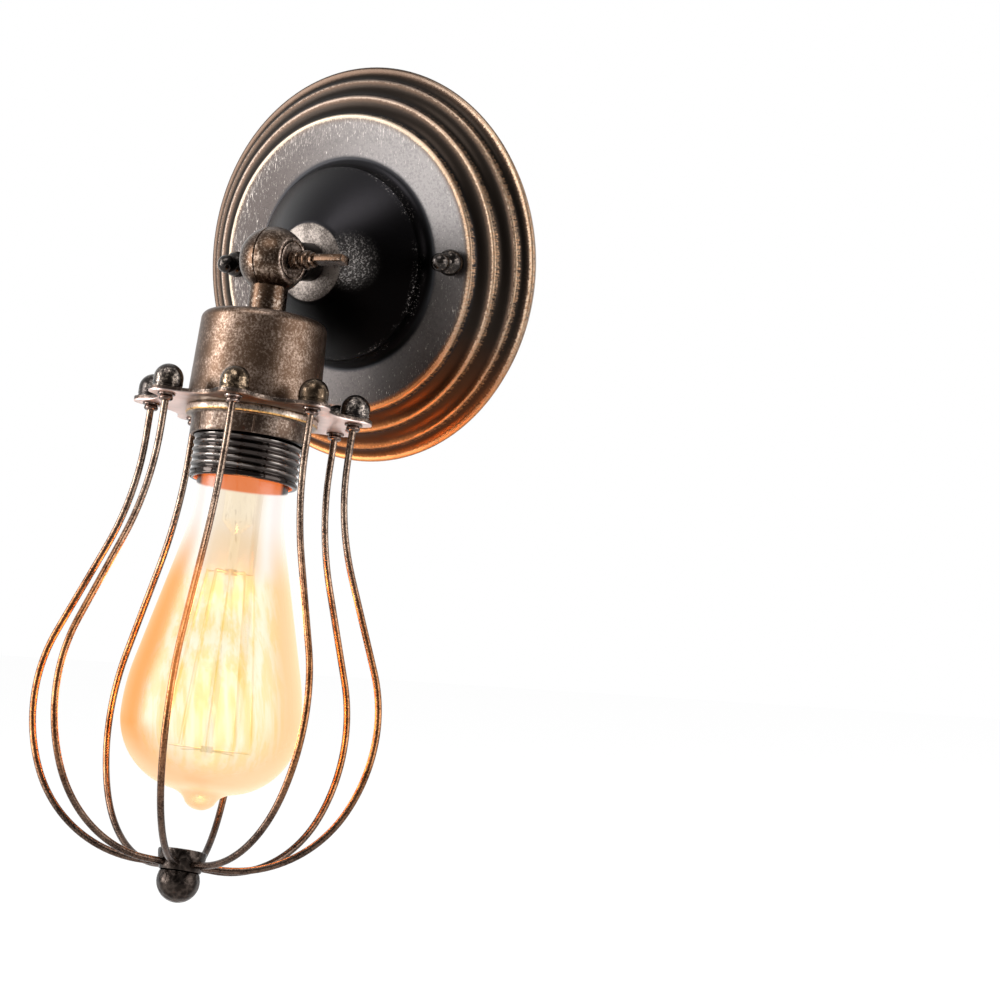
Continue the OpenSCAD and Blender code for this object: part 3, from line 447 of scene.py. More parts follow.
def ring_finish():
    """Bronze, with painted pinkish light on its underside at the left and right, brown under its front and
    back.
    """
    f = Finish("ring_bronze", Metallic=1)
    fine, patch = f.noise(1200, 4, 0.7), f.noise(130, 3)
    worn = (fine * 0.65 + patch * 0.35).step(0.49, 0.70)
    under = f.along(HEAD).step(51.2, 51.7)
    # Painted reflection: the underside is pinkish at the left and right and brown between.
    painted_underside_light = f.mix((0.12, 0.075, 0.052), (0.88, 0.69, 0.63), abs(f.towards(TO_RIGHT, -42)).step(17, 25))
    coat = f.mix((0.050, 0.036, 0.029), (0.36, 0.28, 0.23), worn)
    f.set(Base_Color=f.mix(coat, painted_underside_light, under * (0.7 + 0.5 * patch)), Roughness=0.26 + 0.2 * fine)
    return f.rough_up(fine * 0.6 + patch, 0.2)


def sleeve_finish():
    """Glossy black thread outside; inside, the mouth's lining is painted orange as the bulb's light on it."""
    f = Finish("socket_black", Metallic=1)
    r, down = f.away(HEAD), f.along(HEAD)
    fine, patch = f.noise(700, 3), f.noise(90, 2)
    # Painted bulb light: the lining inside the mouth is orange.
    lining = (1 - r.step(16.2, 16.6)) * down.step(58, 62)
    crest = r.step(17.5, 17.95) * (1 - down.step(72.4, 73.4)) * patch.step(0.40, 0.62)
    coat = f.mix((0.012, 0.008, 0.007), (0.30, 0.27, 0.25), 0.08 + 0.75 * crest)
    f.set(Base_Color=f.mix(coat, (0.85, 0.27, 0.075), lining), Roughness=0.07 + 0.06 * fine + 0.4 * lining)
    return f.rough_up(fine, 0.04)


def glass_finish():
    """Clear glass with the lit bulb's glow painted in: white at its neck, amber on its left, cream in the
    middle.
    """
    f = Finish("clear_glass", Base_Color=(0, 0, 0), Roughness=0.30, Emission_Strength=1.0)
    down = f.along(HEAD)
    edge = f.add("ShaderNodeLayerWeight", {}, {"Blend": 0.5}, "Facing")
    # Painted glow of the lit bulb: warmer at the left, at the rim band and low down, with bright streaks in
    # the middle.
    left = f.towards(TO_LEFT, 50).step(-12, 26)
    middle = abs(f.towards(TO_RIGHT, -47) + (down - 90) * 0.12)
    streak = f.noise(1, 3, 0.6, f.turned((TILT, 0, 0), (330, 330, 13))).step(0.40, 0.62)
    warm = down.step(84, 112)
    rim = f.mix((0.93, 0.85, 0.80), f.mix((1.0, 0.62, 0.31), (1.0, 0.37, 0.07), left), warm)
    lit = f.mix((0.90, 0.72, 0.25), (1.0, 0.94, 0.72), streak)
    neck = f.mix((0.88, 0.74, 0.56), (0.97, 0.93, 0.90), middle.step(6, 11))
    neck = f.mix(neck, (0.84, 0.60, 0.34), down.step(86, 97) * (1 - edge.step(0.05, 0.30)))
    core = f.mix(neck, lit, down.step(103, 113))
    band = edge.step(0.10, 0.50)
    low = down.step(158, 174)
    tint = f.mix(f.mix(core, rim, band), (0.97, 0.66, 0.38), low * 0.65)
    veil = 0.40 + 0.36 * band * (0.25 + 0.75 * warm) + 0.14 * band * left * warm + 0.16 * low
    # Near its top the glass is seen inside the socket's mouth; painted there are the socket's lit copper in
    # the middle and its black shade at the sides.
    painted_mouth_view = 1 - (down - 0.225 * f.towards(TO_FRONT, 60.7)).step(76.4, 77.3)
    side = middle.step(12.2, 13.8)
    f.set(Emission_Color=f.mix(tint, f.mix((0.76, 0.17, 0.035), (0.006, 0.003, 0.002), side), painted_mouth_view),
          Alpha=f.mix(veil, 0.72 + 0.2 * side, painted_mouth_view))
    return f


def stem_finish():
    """The pinched glass stem and what it holds, painted as glow: cream where it faces the eye, brown at its
    edges.
    """
    f = Finish("stem_glass", Base_Color=(0, 0, 0), Roughness=0.1, Emission_Strength=1.0)
    edge = f.add("ShaderNodeLayerWeight", {}, {"Blend": 0.5}, "Facing")
    streak = f.noise(1, 3, 0.7, f.turned((TILT, 0, 0), (900, 900, 60)))
    shade = (edge.step(0.6, 0.9) * 0.7 + streak.step(0.57, 0.62)).held()
    f.set(Emission_Color=f.mix((1.0, 0.86, 0.60), (0.16, 0.09, 0.05), shade), Alpha=0.60 + 0.3 * edge)
    return f


def hammered_finish():
    """Dark bronze struck with small round dimples, a little lighter between them."""
    f = Finish("hammered_bronze", Metallic=1)
    fine, dimple = f.noise(1100, 4, 0.7), f.cells(460)
    worn = (dimple * 0.5 + fine * 0.6).step(0.42, 0.80)
    f.set(Base_Color=f.mix((0.017, 0.013, 0.011), (0.060, 0.047, 0.040), worn), Roughness=0.18 + 0.14 * fine)
    return f.rough_up(dimple * -1 + fine * 0.15, 0.45, 0.0005)


def nut_finish():
    """Dark ball nuts; the two in front are browner, close to the husk's bronze."""
    f = Finish("nut_metal", Metallic=1)
    fine, patch = f.noise(1000, 4, 0.7), f.noise(130, 3, 0.6)
    worn = (fine * 0.65 + patch * 0.35).step(0.48, 0.62)
    front = f.towards(TO_FRONT, 56).step(21, 26)
    f.set(Base_Color=f.mix(f.mix((0.032, 0.027, 0.025), (0.050, 0.034, 0.022), front),
                           f.mix((0.27, 0.23, 0.20), (0.28, 0.205, 0.14), front), worn),
          Roughness=0.17 + 0.15 * fine)
    return f.rough_up(fine * 0.6 + patch, 0.3)


def filament_finish():
    """Glowing strands, a little unevenly bright along their length."""
    f = Finish("filament_glow", Base_Color=(0, 0, 0), Roughness=0.6, Emission_Strength=1.0)
    pulse = f.noise(160, 3)
    f.set(Emission_Color=f.mix((0.90, 0.40, 0.05), (1.0, 0.72, 0.24), pulse.step(0.35, 0.65)))
    return f


# Each speckled finish: dark coat, worn colour, how worn, roughness, metal or not, how fine, how dented.
BROWN_BRONZE = speckled("brown_bronze", (0.055, 0.032, 0.020), (0.37, 0.295, 0.24), 0.6, 0.28, 1.0, 1100, 0.2)
GUNMETAL = speckled("gunmetal", (0.030, 0.026, 0.024), (0.30, 0.25, 0.21), 0.5, 0.17, 1.0, 1000, 0.3)
NUTS = nut_finish()
COLLARS = speckled("collar_metal", (0.10, 0.070, 0.058), (0.55, 0.42, 0.37), 0.7, 0.20, 1.0, 1100, 0.25)
ZINC = speckled("zinc", (0.45, 0.45, 0.46), (0.62, 0.62, 0.62), 0.5, 0.35, 1.0, 300, 0.05)
BRASS = speckled("brass", (0.5, 0.34, 0.13), (0.7, 0.5, 0.22), 0.5, 0.3, 1.0, 300, 0.05)
GREEN = speckled("green_screw", (0.02, 0.16, 0.05), (0.06, 0.30, 0.11), 0.5, 0.4, 0.2, 400, 0.1)
BLACK_LEAD = speckled("lead_black", (0.012, 0.012, 0.013), (0.04, 0.04, 0.042), 0.5, 0.5, 0.0, 300, 0.1)
WHITE_LEAD = speckled("lead_white", (0.62, 0.61, 0.58), (0.80, 0.79, 0.76), 0.5, 0.5, 0.0, 300, 0.1)
PLATE = plate_finish()
ARM_BRONZE = arm_finish()
HUSK = speckled("husk_bronze", (0.075, 0.045, 0.029), (0.30, 0.222, 0.176), 0.80, 0.38, 1.0, 1300, 0.2)
CLAMP = clamp_finish()
RING = ring_finish()
WIRE = wire_finish()
HAMMERED = hammered_finish()
SLEEVE = sleeve_finish()
GLASS = glass_finish()
STEM = stem_finish()
SUPPORT = speckled("support_wire", (0.10, 0.075, 0.05), (0.2, 0.15, 0.1), 0.5, 0.5, 0.0, 300, 0.05)
FILAMENT = filament_finish()
# Painted bulb light: the bulb's brass base is tinted orange.
BASE_BRASS = speckled("lit_brass", (0.30, 0.11, 0.035), (0.5, 0.22, 0.08), 0.5, 0.35, 1.0, 300, 0.05)


def cover(piece, finish):
    """The finish becomes the piece's only one."""
    piece.data.materials.clear()
    piece.data.materials.append(finish.material)


by_slot = {"plate_bronze": PLATE, "cage_bronze": WIRE, "knuckle_bronze": BROWN_BRONZE,
           "gunmetal": GUNMETAL, "zinc": ZINC, "phenolic": SLEEVE, "brass": BRASS, "green_screw": GREEN,
           "lead_black": BLACK_LEAD, "lead_white": WHITE_LEAD}
for part in frame["record"]["subparts"]:
    finish = by_slot.get(part["material_slot"])
    if finish:
        cover(node[part["node"]], finish)
for name, finish in (("bulb_stem", STEM), ("filament_supports", SUPPORT), ("bulb_base", BASE_BRASS)):
    cover(node[name], finish)


# ---------------------------------------------------------------- bench tools

def lay_down():
    """Nothing stays selected, so the next tool works on its own piece alone."""
    bpy.ops.object.select_all(action="DESELECT")


def named(name):
    piece = bpy.context.object
    piece.name = piece.data.name = name
    return piece


def only(piece):
    lay_down()
    piece.select_set(True)
    bpy.context.view_layer.objects.active = piece
    return piece


def arc(r, down, bend, first, last, steps=8):
    """Outline points round a centre: 0 degrees points away from the line, 90 along it."""
    return [(r + bend * cos(radians(first + (last - first) * i / steps)),
             down + bend * sin(radians(first + (last - first) * i / steps))) for i in range(steps + 1)]


def spun(name, line, outline, steps=96):
    """Draws an outline from one corner to the next and spins it about a line."""
    places = [line.at(max(r, 0), down) for r, down in outline]
    if min(outline[0][0], outline[-1][0]) > 0.001:
        places.append(places[0])
    lay_down()
    bpy.ops.mesh.primitive_plane_add(size=MM)
    piece = named(name)
    bpy.ops.object.mode_set(mode="EDIT")
    bpy.ops.mesh.merge(type="CENTER")
    bpy.ops.transform.translate(value=places[0])
    for near, far in zip(places, places[1:]):
        bpy.ops.mesh.extrude_vertices_move(TRANSFORM_OT_translate={"value": far - near})
    bpy.ops.mesh.select_all(action="SELECT")
    bpy.ops.mesh.remove_doubles(threshold=1e-7)
    bpy.ops.mesh.spin(steps=steps, angle=TURN, center=line.start * MM, axis=line.along)
    bpy.ops.mesh.select_all(action="SELECT")
    bpy.ops.mesh.remove_doubles(threshold=2e-6)
    bpy.ops.mesh.normals_make_consistent(inside=False)
    bpy.ops.object.mode_set(mode="OBJECT")
    return piece


def smooth(piece, angle=32):
    only(piece)
    bpy.ops.object.shade_smooth_by_angle(angle=radians(angle))
    return piece


def modify(piece, kind, **settings):
    only(piece)
    tool = piece.modifiers.new("tool", kind)
    for what, value in settings.items():
        setattr(tool, what, value)
    bpy.ops.object.modifier_apply(modifier=tool.name)
    return piece


def cut(piece, tool, how="DIFFERENCE"):
    """One solid taken from, or added to, another; the tool is used up."""
    modify(piece, "BOOLEAN", operation=how, object=tool, solver="EXACT")
    bpy.data.objects.remove(tool)
    return piece


def softened(piece, width, segments=2, angle=32):
    """Edges sharper than an angle are rounded."""
    modify(piece, "BEVEL", width=width * MM, segments=segments, limit_method="ANGLE",
           angle_limit=radians(angle), use_clamp_overlap=True)
    return smooth(piece)


def turned_to(piece, line):
    """A piece made about +Z from the origin is put on a line: +Z runs along it, +Y points to its zero."""
    across = line.zero.cross(line.along)
    grid = Matrix((across, line.zero, line.along)).transposed().to_4x4()
    piece.data.transform(Matrix.Translation(line.start * MM) @ grid)
    if grid.determinant() < 0:
        piece.data.flip_normals()
    return piece


def block(name, low, high):
    """A box between two corners, in millimetres, ready to be shaped."""
    low, high = Vector(low), Vector(high)
    lay_down()
    bpy.ops.mesh.primitive_cube_add(size=1)
    piece = named(name)
    bpy.ops.object.mode_set(mode="EDIT")
    bpy.ops.transform.resize(value=(high - low) * MM)
    bpy.ops.transform.translate(value=(low + high) / 2 * MM)
    bpy.ops.object.mode_set(mode="OBJECT")
    return piece


def rod(name, r, low, high, steps=64, centre=(0, 0)):
    """A cylinder along +Z, in millimetres."""
    lay_down()
    bpy.ops.mesh.primitive_cylinder_add(vertices=steps, radius=r * MM, depth=(high - low) * MM)
    piece = named(name)
    bpy.ops.object.mode_set(mode="EDIT")
    bpy.ops.transform.translate(value=(centre[0] * MM, centre[1] * MM, (low + high) / 2 * MM))
    bpy.ops.object.mode_set(mode="OBJECT")
    return piece


def joined(name, pieces):
    only(pieces[0])
    for piece in pieces:
        piece.select_set(True)
    if len(pieces) > 1:
        bpy.ops.object.join()
    return named(name)


def drawn(name, places, r, rounding):
    """A round wire of one thickness along a run of places."""
    lay_down()
    path = bpy.data.curves.new(name, "CURVE")
    path.dimensions, path.bevel_depth, path.bevel_resolution = "3D", r * MM, rounding
    path.use_fill_caps = True
    run = path.splines.new("POLY")
    run.points.add(len(places) - 1)
    for point, place in zip(run.points, places):
        point.co = (*place, 1)
    wire = bpy.data.objects.new(name, path)
    bpy.context.collection.objects.link(wire)
    only(wire)
    bpy.ops.object.convert(target="MESH")
    return named(name)


def fit(piece, body, finish, slot, *nodes):
    """The finished piece takes its finish, rides on its body and stands for its nodes."""
    cover(piece, finish)
    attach(piece, body)
    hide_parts(*nodes)
    return piece


# ---------------------------------------------------------------- wall plate

# Each ridge's radius and height over the wall, then the flat's, then the dome's foot, edge and end.
RIDGES = ((67.5, 5.0), (63.1, 8.6), (57.5, 13.2))
FLAT_R, FLAT_H = 51.0, 17.5
DOME_R, DOME_EDGE, DOME_END = 36.2, (32.7, 22.4), (13.1, 39.5)
ROUND, PLATE_WALL, RIM_UNDER = 0.9, 1.5, 2.2
STUD_X, STUD_HOLE_R, TUBE_HOLE_R = 44.45, 2.3, 5.0
# How far the dome's side swells past a straight line, and the way it swells, out and forwards.
DOME_SWELL, SWELL_OUT, SWELL_ON = 0.8, 0.63, 0.78


def plate_side(wall):
    """The plate's outline from the wall to the dome's flat end, drawn in by a wall."""
    line = [(RIDGES[0][0] - RIM_UNDER, 0), (RIDGES[0][0], RIDGES[0][1] - ROUND)]
    steps = RIDGES + ((FLAT_R, FLAT_H),)
    for (r, h), above in zip(steps, steps[1:] + (None,)):
        line += arc(r - ROUND, h - ROUND, ROUND, 0, 90, 6)[1:]
        if above:
            foot, head = r - ROUND - above[0], above[1] - ROUND - h
            line += [(r - ROUND - foot * sin(radians(9 * i)), h + head * (1 - cos(radians(9 * i))))
                     for i in range(1, 11)]
    cove = [(DOME_R - (DOME_R - DOME_EDGE[0]) * sin(radians(9 * i)),
             DOME_EDGE[1] - (DOME_EDGE[1] - FLAT_H) * cos(radians(9 * i))) for i in range(11)]
    side = []
    for i in range(1, 15):
        t = i / 14
        swell = DOME_SWELL * 4 * t * (1 - t)
        side.append((DOME_EDGE[0] + (DOME_END[0] - DOME_EDGE[0]) * t + swell * SWELL_OUT,
                     DOME_EDGE[1] + (DOME_END[1] - DOME_EDGE[1]) * t + swell * SWELL_ON))
    return [(r - wall, h - wall) for r, h in line + cove + side]


def make_plate():
    """One spun shell with a hole for the tube and one for each stud."""
    inside = [(r, max(h, 0)) for r, h in plate_side(PLATE_WALL)]
    outline = plate_side(0) + [(TUBE_HOLE_R, DOME_END[1]), (TUBE_HOLE_R, DOME_END[1] - PLATE_WALL)]
    outline += inside[::-1]
    plate = spun("wall_plate", WALL, outline, 180)
    for side in (-1, 1):
        drill = rod("drill", STUD_HOLE_R, -30, 0, 32)
        laid = Matrix.Rotation(-pi / 2, 4, "X")
        drill.data.transform(Matrix.Translation((side * STUD_X * MM, 0, 0)) @ laid)
        cut(plate, drill)
    smooth(plate, 38)
    return fit(plate, "wall_side", PLATE, "plate_bronze", "canopy")


def make_plate_nuts():
    """A large ball with a smaller one in front of it, on each stud."""
    outline = [(0, FLAT_H), (3.5, FLAT_H)] + arc(0, FLAT_H + 3, 4.5, -38, 42, 12)
    outline += [(2.95, FLAT_H + 6.4), (2.7, FLAT_H + 6.8)] + arc(0, FLAT_H + 8.9, 3.2, -32, 90, 14)
    studs = [Axis((side * STUD_X, 0, 0), (0, -1, 0), (0, 0, 1)) for side in (-1, 1)]
    nuts = smooth(joined("plate_ball_nuts", [spun("nut", stud, outline, 48) for stud in studs]), 30)
    return fit(nuts, "wall_side", GUNMETAL, "gunmetal", "canopy_ball_nuts")


# ---------------------------------------------------------------- knuckle

BALL_R, CHEEK_X, SEAM = 11.2, 8.3, 0.2
SCREW_HOLE_R, ARM_R, NECK_TUBE_R, NECK_END = 2.45, 6.5, 6.35, 19.6


def half_knuckle(name, line, side, stem_r, stem_end):
    """One half of the ball, turned with its cheek, and the stem that grows out of it."""
    cheek = CROSS if side > 0 else Axis(PIVOT, (-1, 0, 0), (0, 0, 1))
    low = degrees(atan2(SEAM / 2, BALL_R)) + 1.2
    top = degrees(atan2(CHEEK_X, sqrt(BALL_R ** 2 - CHEEK_X ** 2))) - 1.2
    outline = [(SCREW_HOLE_R, SEAM / 2), (BALL_R - 0.3, SEAM / 2)] + arc(0, 0, BALL_R, low, top, 14)
    outline += [(7.25, CHEEK_X), (6.75, CHEEK_X), (6.5, CHEEK_X - 0.1), (6.35, CHEEK_X - 0.55),
                (6.1, CHEEK_X - 0.6), (5.9, CHEEK_X - 0.2), (5.6, CHEEK_X - 0.1), (4.6, CHEEK_X - 0.3),
                (3.6, CHEEK_X - 0.35), (SCREW_HOLE_R, CHEEK_X - 0.3)]
    ball = spun(name + "_ball", cheek, outline, 96)
    stem = rod("stem", stem_r, 4, stem_end, 96)
    gap = block("gap", (-side * 20, -20, 0), (side * SEAM / 2, 20, BALL_R + 0.4))
    cut(stem, gap)
    softened(stem, 0.25)
    turned_to(stem, line)
    return softened(cut(ball, stem, "UNION"), 0.2, 2, 50)


def make_knuckle():
    """The arm ends on the dome, and the neck on the husk's top."""
    arm = half_knuckle("arm_knuckle", ARM, 1, ARM_R, -PIVOT.y - DOME_END[1])
    head = half_knuckle("head_knuckle", HEAD, -1, NECK_TUBE_R, NECK_END)
    arm.name, head.name = "arm_knuckle", "head_knuckle"
    return (fit(arm, "wall_side", ARM_BRONZE, "knuckle_bronze", "swivel_arm"),
            fit(head, "head", BROWN_BRONZE, "knuckle_bronze", "swivel_head"))


def make_thumb_screw():
    """A turned shank through the ball, with a flat paddle that stands a little off upright."""
    outline = [(0, -7.8), (1.9, -7.8), (2.3, -7.4), (2.3, 8.35), (2.75, 8.4)]
    outline += arc(2.55, 9.15, 0.75, -60, 0, 5) + arc(2.55, 11.1, 0.75, 0, 80, 5)
    outline += [(2.35, 12.0), (2.35, 12.5)] + arc(1.65, 14.2, 1.68, -72, 72, 12)
    outline += [(2.5, 16.0), (2.6, 16.3), (2.6, 17.0), (2.3, 17.25), (1.75, 17.35), (1.7, 17.7), (0, 17.8)]
    shank = smooth(spun("shank", CROSS, outline, 64))
    paddle = block("paddle", (17.45, -2.6, -1.25), (30.15, 2.6, 1.25))
    disc = rod("disc", 6.05, -3, 3, 96, (23.8, 0))
    modify(paddle, "BOOLEAN", operation="INTERSECT", object=disc, solver="EXACT")
    bpy.data.objects.remove(disc)
    softened(paddle, 0.55, 3)
    paddle.data.transform(Matrix.Translation(PIVOT * MM) @ Matrix.Rotation(radians(-20), 4, "X"))
    screw = joined("thumb_screw_piece", [paddle, shank])
    return fit(screw, "thumb_screw", BROWN_BRONZE, "knuckle_bronze", "thumb_screw")


# ---------------------------------------------------------------- husk, clamp ring and socket

HUSK_TOP, RING_TOP, RING_FOOT, CLAMP_FOOT, SLEEVE_FOOT = 19.6, 50.3, 51.8, 61.0, 75.2
SLEEVE_R, SLEEVE_TOP, THREAD_DEPTH, THREAD_PITCH = 18.0, 38.55, 0.7, 2.37
GROOVE_OUT, FADE_LENGTH = 19.75, 1.6


def make_husk():
    """A cup open below, a little wider at its mouth, with a hole for the tube in its top."""
    outline = [(5.0, HUSK_TOP), (17.2, HUSK_TOP)] + arc(17.9, HUSK_TOP + 3, 3, -84, -2, 10)
    for t in (0, 0.25, 0.5, 0.75, 1):
        outline.append((20.9 + 1.1 * t, HUSK_TOP + 3.2 + (RING_TOP - HUSK_TOP - 3.6) * t))
    outline += [(21.85, RING_TOP), (21.0, RING_TOP), (20.75, RING_TOP - 0.4), (19.7, HUSK_TOP + 4),
                (17.4, HUSK_TOP + 1.2), (5.0, HUSK_TOP + 1.2)]
    return fit(smooth(spun("husk_shell", HEAD, outline, 128), 40), "head", HUSK, "knuckle_bronze", "husk")


def make_clamp_ring():
    """Two beads under the cage's ring, then a plain collar with six grooves down its side."""
    outline = [(18.35, RING_FOOT), (21.5, RING_FOOT)] + arc(21.2, RING_FOOT + 0.7, 0.7, -70, 0, 5)
    outline += arc(21.2, RING_FOOT + 2.0, 0.7, 0, 85, 5) + [(20.0, RING_FOOT + 2.75), (19.6, RING_FOOT + 3.1)]
    outline += [(19.6, CLAMP_FOOT - 0.5), (19.45, CLAMP_FOOT - 0.12), (19.1, CLAMP_FOOT), (18.35, CLAMP_FOOT)]
    ring = spun("clamp_ring_piece", HEAD, outline, 128)
    for i in range(6):
        groove = rod("groove", 0.42, RING_FOOT + 3.4, CLAMP_FOOT + 1, 12)
        angle = radians(-20 + 60 * i)
        place = (GROOVE_OUT * sin(angle) * MM, GROOVE_OUT * cos(angle) * MM, 0)
        groove.data.transform(Matrix.Translation(place))
        cut(ring, turned_to(groove, HEAD))
    return fit(smooth(ring, 34), "head", CLAMP, "knuckle_bronze", "clamp_ring")


def make_sleeve():
    """The socket's sleeve, whose plain outside is drawn in to a rounded thread that fades at the foot."""
    rows = [(SLEEVE_R, 52 + 0.2 * i) for i in range(114)]
    floor = SLEEVE_TOP + 2.5
    outline = [(0, SLEEVE_TOP), (17.4, SLEEVE_TOP), (17.4, 51.6)] + rows
    outline += [(17.85, SLEEVE_FOOT - 0.25), (17.5, SLEEVE_FOOT), (16.2, SLEEVE_FOOT),
                (15.9, SLEEVE_FOOT - 0.3), (15.9, SLEEVE_FOOT - 8), (13.85, SLEEVE_FOOT - 8),
                (13.85, floor), (0, floor)]
    sleeve = spun("socket_sleeve", HEAD, outline, 144)
    start, side, out = HEAD.start * MM, HEAD.side, HEAD.zero
    for point in sleeve.data.vertices:
        from_start = point.co - start
        down = from_start.dot(HEAD.along) / MM
        x, y = from_start.dot(side) / MM, from_start.dot(out) / MM
        if hypot(x, y) < SLEEVE_R - 0.05 or down > SLEEVE_FOOT - 0.5:
            continue
        turn = (down / THREAD_PITCH - atan2(x, y) / TURN) * TURN
        fade = min(1, max(0, (SLEEVE_FOOT - 0.5 - down) / FADE_LENGTH))
        hollow = THREAD_DEPTH * fade * (0.5 - 0.5 * cos(turn)) ** 0.8
        point.co -= (side * x + out * y) / hypot(x, y) * hollow * MM
    return fit(smooth(sleeve, 60), "head", SLEEVE, "phenolic", "socket_body")


# ---------------------------------------------------------------- cage

# A wire runs straight down, flares out, turns in at the belly, and bends level into the cup.
RING_R, WIRE_R, LEG_FOOT = 34.0, 1.15, 64.0
FLARE, FLARE_BEND, BELLY_BEND = radians(21.825), 103.06, 55.49
BELLY_R, BELLY_DOWN, LEVEL_R, FOOT_DOWN = 57.0, 152.0, 12.9, 201.7
BELLY_TURN, LOWER_BEND, FOOT_BEND = 26, 59.03, 42.42
CUP_TOP, FINIAL_R, BALL_NUT_R, BALL_NUT_H = 197.0, 7.05, 4.9, 8.2


def from_node(name, piece_name):
    """A copy of a node's solid with its flat faces made whole, ready to be finished."""
    lay_down()
    piece = node[name].copy()
    piece.data = node[name].data.copy()
    bpy.context.collection.objects.link(piece)
    piece.name = piece.data.name = piece_name
    only(piece)
    bpy.ops.object.mode_set(mode="EDIT")
    bpy.ops.mesh.select_all(action="SELECT")
    bpy.ops.mesh.remove_doubles(threshold=1e-6)
    bpy.ops.mesh.dissolve_limited(angle_limit=radians(0.5))
    bpy.ops.object.mode_set(mode="OBJECT")
    return piece


def make_cage_ring():
    """The lobed ring, with its edges eased."""
    ring = softened(from_node("cage_ring", "cage_ring_plate"), 0.3, 2, 40)
    return fit(ring, "head", RING, "cage_bronze", "cage_ring")


def make_ring_nuts():
    """A ball with a groove round its foot above the ring, and a small collar under it, at each wire."""
    top = RING_TOP - BALL_NUT_H
    ball = [(0, top)] + arc(0, top + BALL_NUT_R, BALL_NUT_R, -86, 0, 14)
    ball += [(4.9, RING_TOP - 1.3), (4.75, RING_TOP - 1.05), (4.75, RING_TOP - 0.85),
             (4.9, RING_TOP - 0.65), (4.8, RING_TOP - 0.1), (4.6, RING_TOP), (0, RING_TOP)]
    collar = [(0, RING_FOOT), (2.8, RING_FOOT), (3.0, RING_FOOT + 0.2), (2.9, RING_FOOT + 0.6),
              (2.2, RING_FOOT + 0.85)]
    collar += arc(1.5, RING_FOOT + 1.6, 0.85, -50, 80, 8) + [(0, RING_FOOT + 2.4)]
    lines = [Axis(HEAD.at(RING_R, 0, angle) / MM, HEAD.along, HEAD.zero) for angle in WIRE_ANGLES]
    balls = smooth(joined("cage_ball_nuts", [spun("ball", line, ball, 48) for line in lines]), 30)
    collars = smooth(joined("cage_collar_nuts", [spun("collar", line, collar, 32) for line in lines]), 30)
    return (fit(balls, "head", NUTS, "gunmetal", "ring_ball_nuts"),
            fit(collars, "head", COLLARS, "cage_bronze", "ring_collar_nuts"))


def wire_line():
    """The middle line of one cage wire, from the ball nut to the cup, as (r, down)."""
    line = [(RING_R, 46), (RING_R, 55), (RING_R, LEG_FOOT)]
    flare = arc(RING_R + FLARE_BEND, LEG_FOOT, FLARE_BEND, 180, 180 - degrees(FLARE), 10)
    belly = arc(BELLY_R - BELLY_BEND, BELLY_DOWN, BELLY_BEND, -degrees(FLARE), 0, 10)
    (r, down), (far_r, far_down) = flare[-1], belly[0]
    gap = [(r + (far_r - r) * i / 5, down + (far_down - down) * i / 5) for i in range(1, 5)]
    lower = arc(BELLY_R - LOWER_BEND, BELLY_DOWN, LOWER_BEND, 0, BELLY_TURN, 12)
    foot = arc(LEVEL_R, FOOT_DOWN - FOOT_BEND, FOOT_BEND, BELLY_TURN, 90, 22)
    return line + flare[1:] + gap + belly + lower[1:] + foot[1:] + [(9, FOOT_DOWN), (5.2, FOOT_DOWN)]


def make_wires():
    for number, angle in enumerate(WIRE_ANGLES, 1):
        places = [CAGE.at(r, down, angle) for r, down in wire_line()]
        wire = smooth(drawn("wire_piece_%d" % number, places, WIRE_R, 6), 60)
        fit(wire, "head", WIRE, "cage_bronze", "cage_wire_%d" % number)


def make_cup():
    """The cup that gathers the wires, a little narrower below."""
    outline = [(0, CUP_TOP), (7.3, CUP_TOP), (7.85, CUP_TOP + 0.25), (8.0, CUP_TOP + 0.8),
               (7.6, CUP_TOP + 3.5), (6.95, CUP_TOP + 6.2), (6.75, CUP_TOP + 6.8), (6.3, CUP_TOP + 7),
               (0, CUP_TOP + 7)]
    return fit(smooth(spun("wire_cup", CAGE, outline, 96), 40), "head", HAMMERED, "cage_bronze", "cage_cup")


def make_finial():
    """A ball that closes the cup from below."""
    outline = [(0, CUP_TOP + 7.05), (6.1, CUP_TOP + 7.05)] + arc(0, CUP_TOP + 10, FINIAL_R, -23, 90, 24)
    return fit(smooth(spun("finial_ball", CAGE, outline, 96), 40), "finial", HAMMERED, "gunmetal", "finial")


# ---------------------------------------------------------------- bulb

# The bulb's tip and widest place along the head, its radii there and at the neck, and its bends.
BULB_TIP, BULB_WIDE, BULB_R, NECK_R = 183.2, 153.9, 29.4, 15.1
NUB_R, END_BEND, GLASS_WALL = 6.3, 23.5, 0.9
NECK_BEND_DOWN, CONE, NECK_BEND, SIDE_BEND = 78.9, 14.03, 73.2, 70.3
NUB_FOOT = (5.9, 178.0)
# The filament: ten strands from the upper hooks to the lower, wider ones, and two small lamps among them.
STRANDS, STRAND_R, STRAND_BOW = 10, 0.35, 0.35
HOOK_R, HOOK_SPREAD, HOOK_DOWN, STRAND_FALL = 8, 7, 105, 58.4
LAMPS_DOWN, LAMP_POWER, LAMP_COLOUR, LAMP_R = (115, 150), 0.45, (1.0, 0.34, 0.09), 9


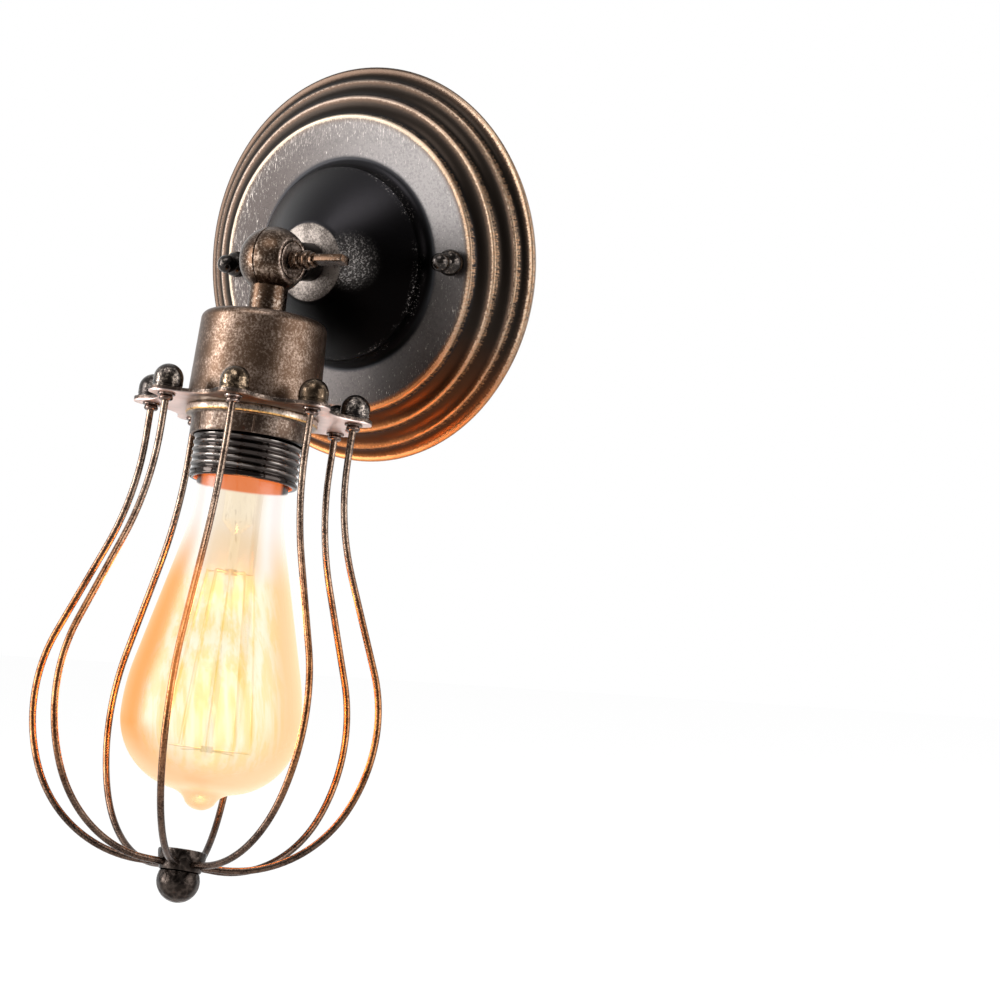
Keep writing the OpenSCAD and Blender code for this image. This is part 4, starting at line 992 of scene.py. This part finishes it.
def glass_side(wall):
    """The bulb's outline from the nub up to the neck, drawn in by a wall."""
    line = [(0, BULB_TIP - wall)] + arc(0, BULB_TIP - NUB_R, NUB_R - wall, 82, 40, 6)
    round_end = arc(BULB_R - END_BEND, BULB_WIDE, END_BEND - wall, 80, 0, 24)
    near, far = Vector((*line[-1], 0)), Vector((*round_end[0], 0))
    corner = Vector((NUB_FOOT[0], NUB_FOOT[1] - wall, 0))
    for i in range(1, 8):
        t = i / 8
        place = near * (1 - t) ** 2 + corner * (2 * t * (1 - t)) + far * t ** 2
        line.append((place.x, place.y))
    line += round_end
    line += arc(BULB_R - SIDE_BEND, BULB_WIDE, SIDE_BEND - wall, 0, -CONE, 10)[1:]
    line += arc(NECK_R + NECK_BEND, NECK_BEND_DOWN, NECK_BEND + wall, 180 - CONE, 180, 12)
    line += [(NECK_R - wall, 75.5), (NECK_R - wall, 72.2), (NECK_R - wall - 0.5, 70.2),
             (13.2 - wall, 68.4), (12.35 - wall, 67.9), (12.35 - wall, 66.3)]
    return line


def make_glass():
    outline = glass_side(0) + glass_side(GLASS_WALL)[::-1]
    glass = smooth(spun("bulb_envelope", HEAD, outline, 128), 50)
    return fit(glass, "bulb", GLASS, "clear_glass", "bulb_glass")


def make_filament():
    """Upright glowing strands between the upper and the lower hooks, with two warm lamps in their midst."""
    made = []
    for i in range(STRANDS):
        places = []
        for t in [step / 12 for step in range(13)]:
            r = HOOK_R + HOOK_SPREAD * t + STRAND_BOW * sin(pi * t)
            places.append(HEAD.at(r, HOOK_DOWN + STRAND_FALL * t, TURN * i / STRANDS))
        made.append(drawn("strand", places, STRAND_R, 3))
    piece = fit(smooth(joined("filament_strands", made), 60), "bulb", FILAMENT, "filament", "filament")
    for number, down in enumerate(LAMPS_DOWN):
        lamp = bpy.data.lights.new("bulb_lamp_%d" % number, "POINT")
        lamp.energy, lamp.color, lamp.shadow_soft_size = LAMP_POWER, LAMP_COLOUR, LAMP_R * MM
        holder = bpy.data.objects.new("bulb_lamp_%d" % number, lamp)
        bpy.context.collection.objects.link(holder)
        holder.location = HEAD.at(0, down)
        holder.parent = piece
    return piece


make_plate()
make_plate_nuts()
make_knuckle()
make_thumb_screw()
make_husk()
make_clamp_ring()
make_sleeve()
make_cage_ring()
make_ring_nuts()
make_wires()
make_cup()
make_finial()
make_glass()
make_filament()


# ---------------------------------------------------------------- floor

# How bright the floor is to the camera, and how much of what the camera sees is that brightness.
FLOOR_GLOW, FLOOR_SHARE = 1.12, 0.8


def make_floor():
    """A pale stage under the light that all but melts into the white behind it."""
    lay_down()
    bpy.ops.mesh.primitive_plane_add(size=4, location=(0, -0.4, -0.30))
    floor = named("studio_floor")
    white = bpy.data.materials.new("pale_floor")
    white.use_nodes = True
    tree = white.node_tree
    paint = tree.nodes["Principled BSDF"]
    paint.inputs["Base Color"].default_value = (0.9, 0.9, 0.9, 1)
    paint.inputs["Roughness"].default_value = 0.9
    glow = tree.nodes.new("ShaderNodeEmission")
    glow.inputs["Strength"].default_value = FLOOR_GLOW
    ray = tree.nodes.new("ShaderNodeLightPath")
    part = tree.nodes.new("ShaderNodeMath")
    part.operation = "MULTIPLY"
    part.inputs[1].default_value = FLOOR_SHARE
    blend = tree.nodes.new("ShaderNodeMixShader")
    tree.links.new(ray.outputs["Is Camera Ray"], part.inputs[0])
    tree.links.new(part.outputs[0], blend.inputs[0])
    tree.links.new(paint.outputs[0], blend.inputs[1])
    tree.links.new(glow.outputs[0], blend.inputs[2])
    tree.links.new(blend.outputs[0], tree.nodes["Material Output"].inputs["Surface"])
    floor.data.materials.append(white)


make_floor()

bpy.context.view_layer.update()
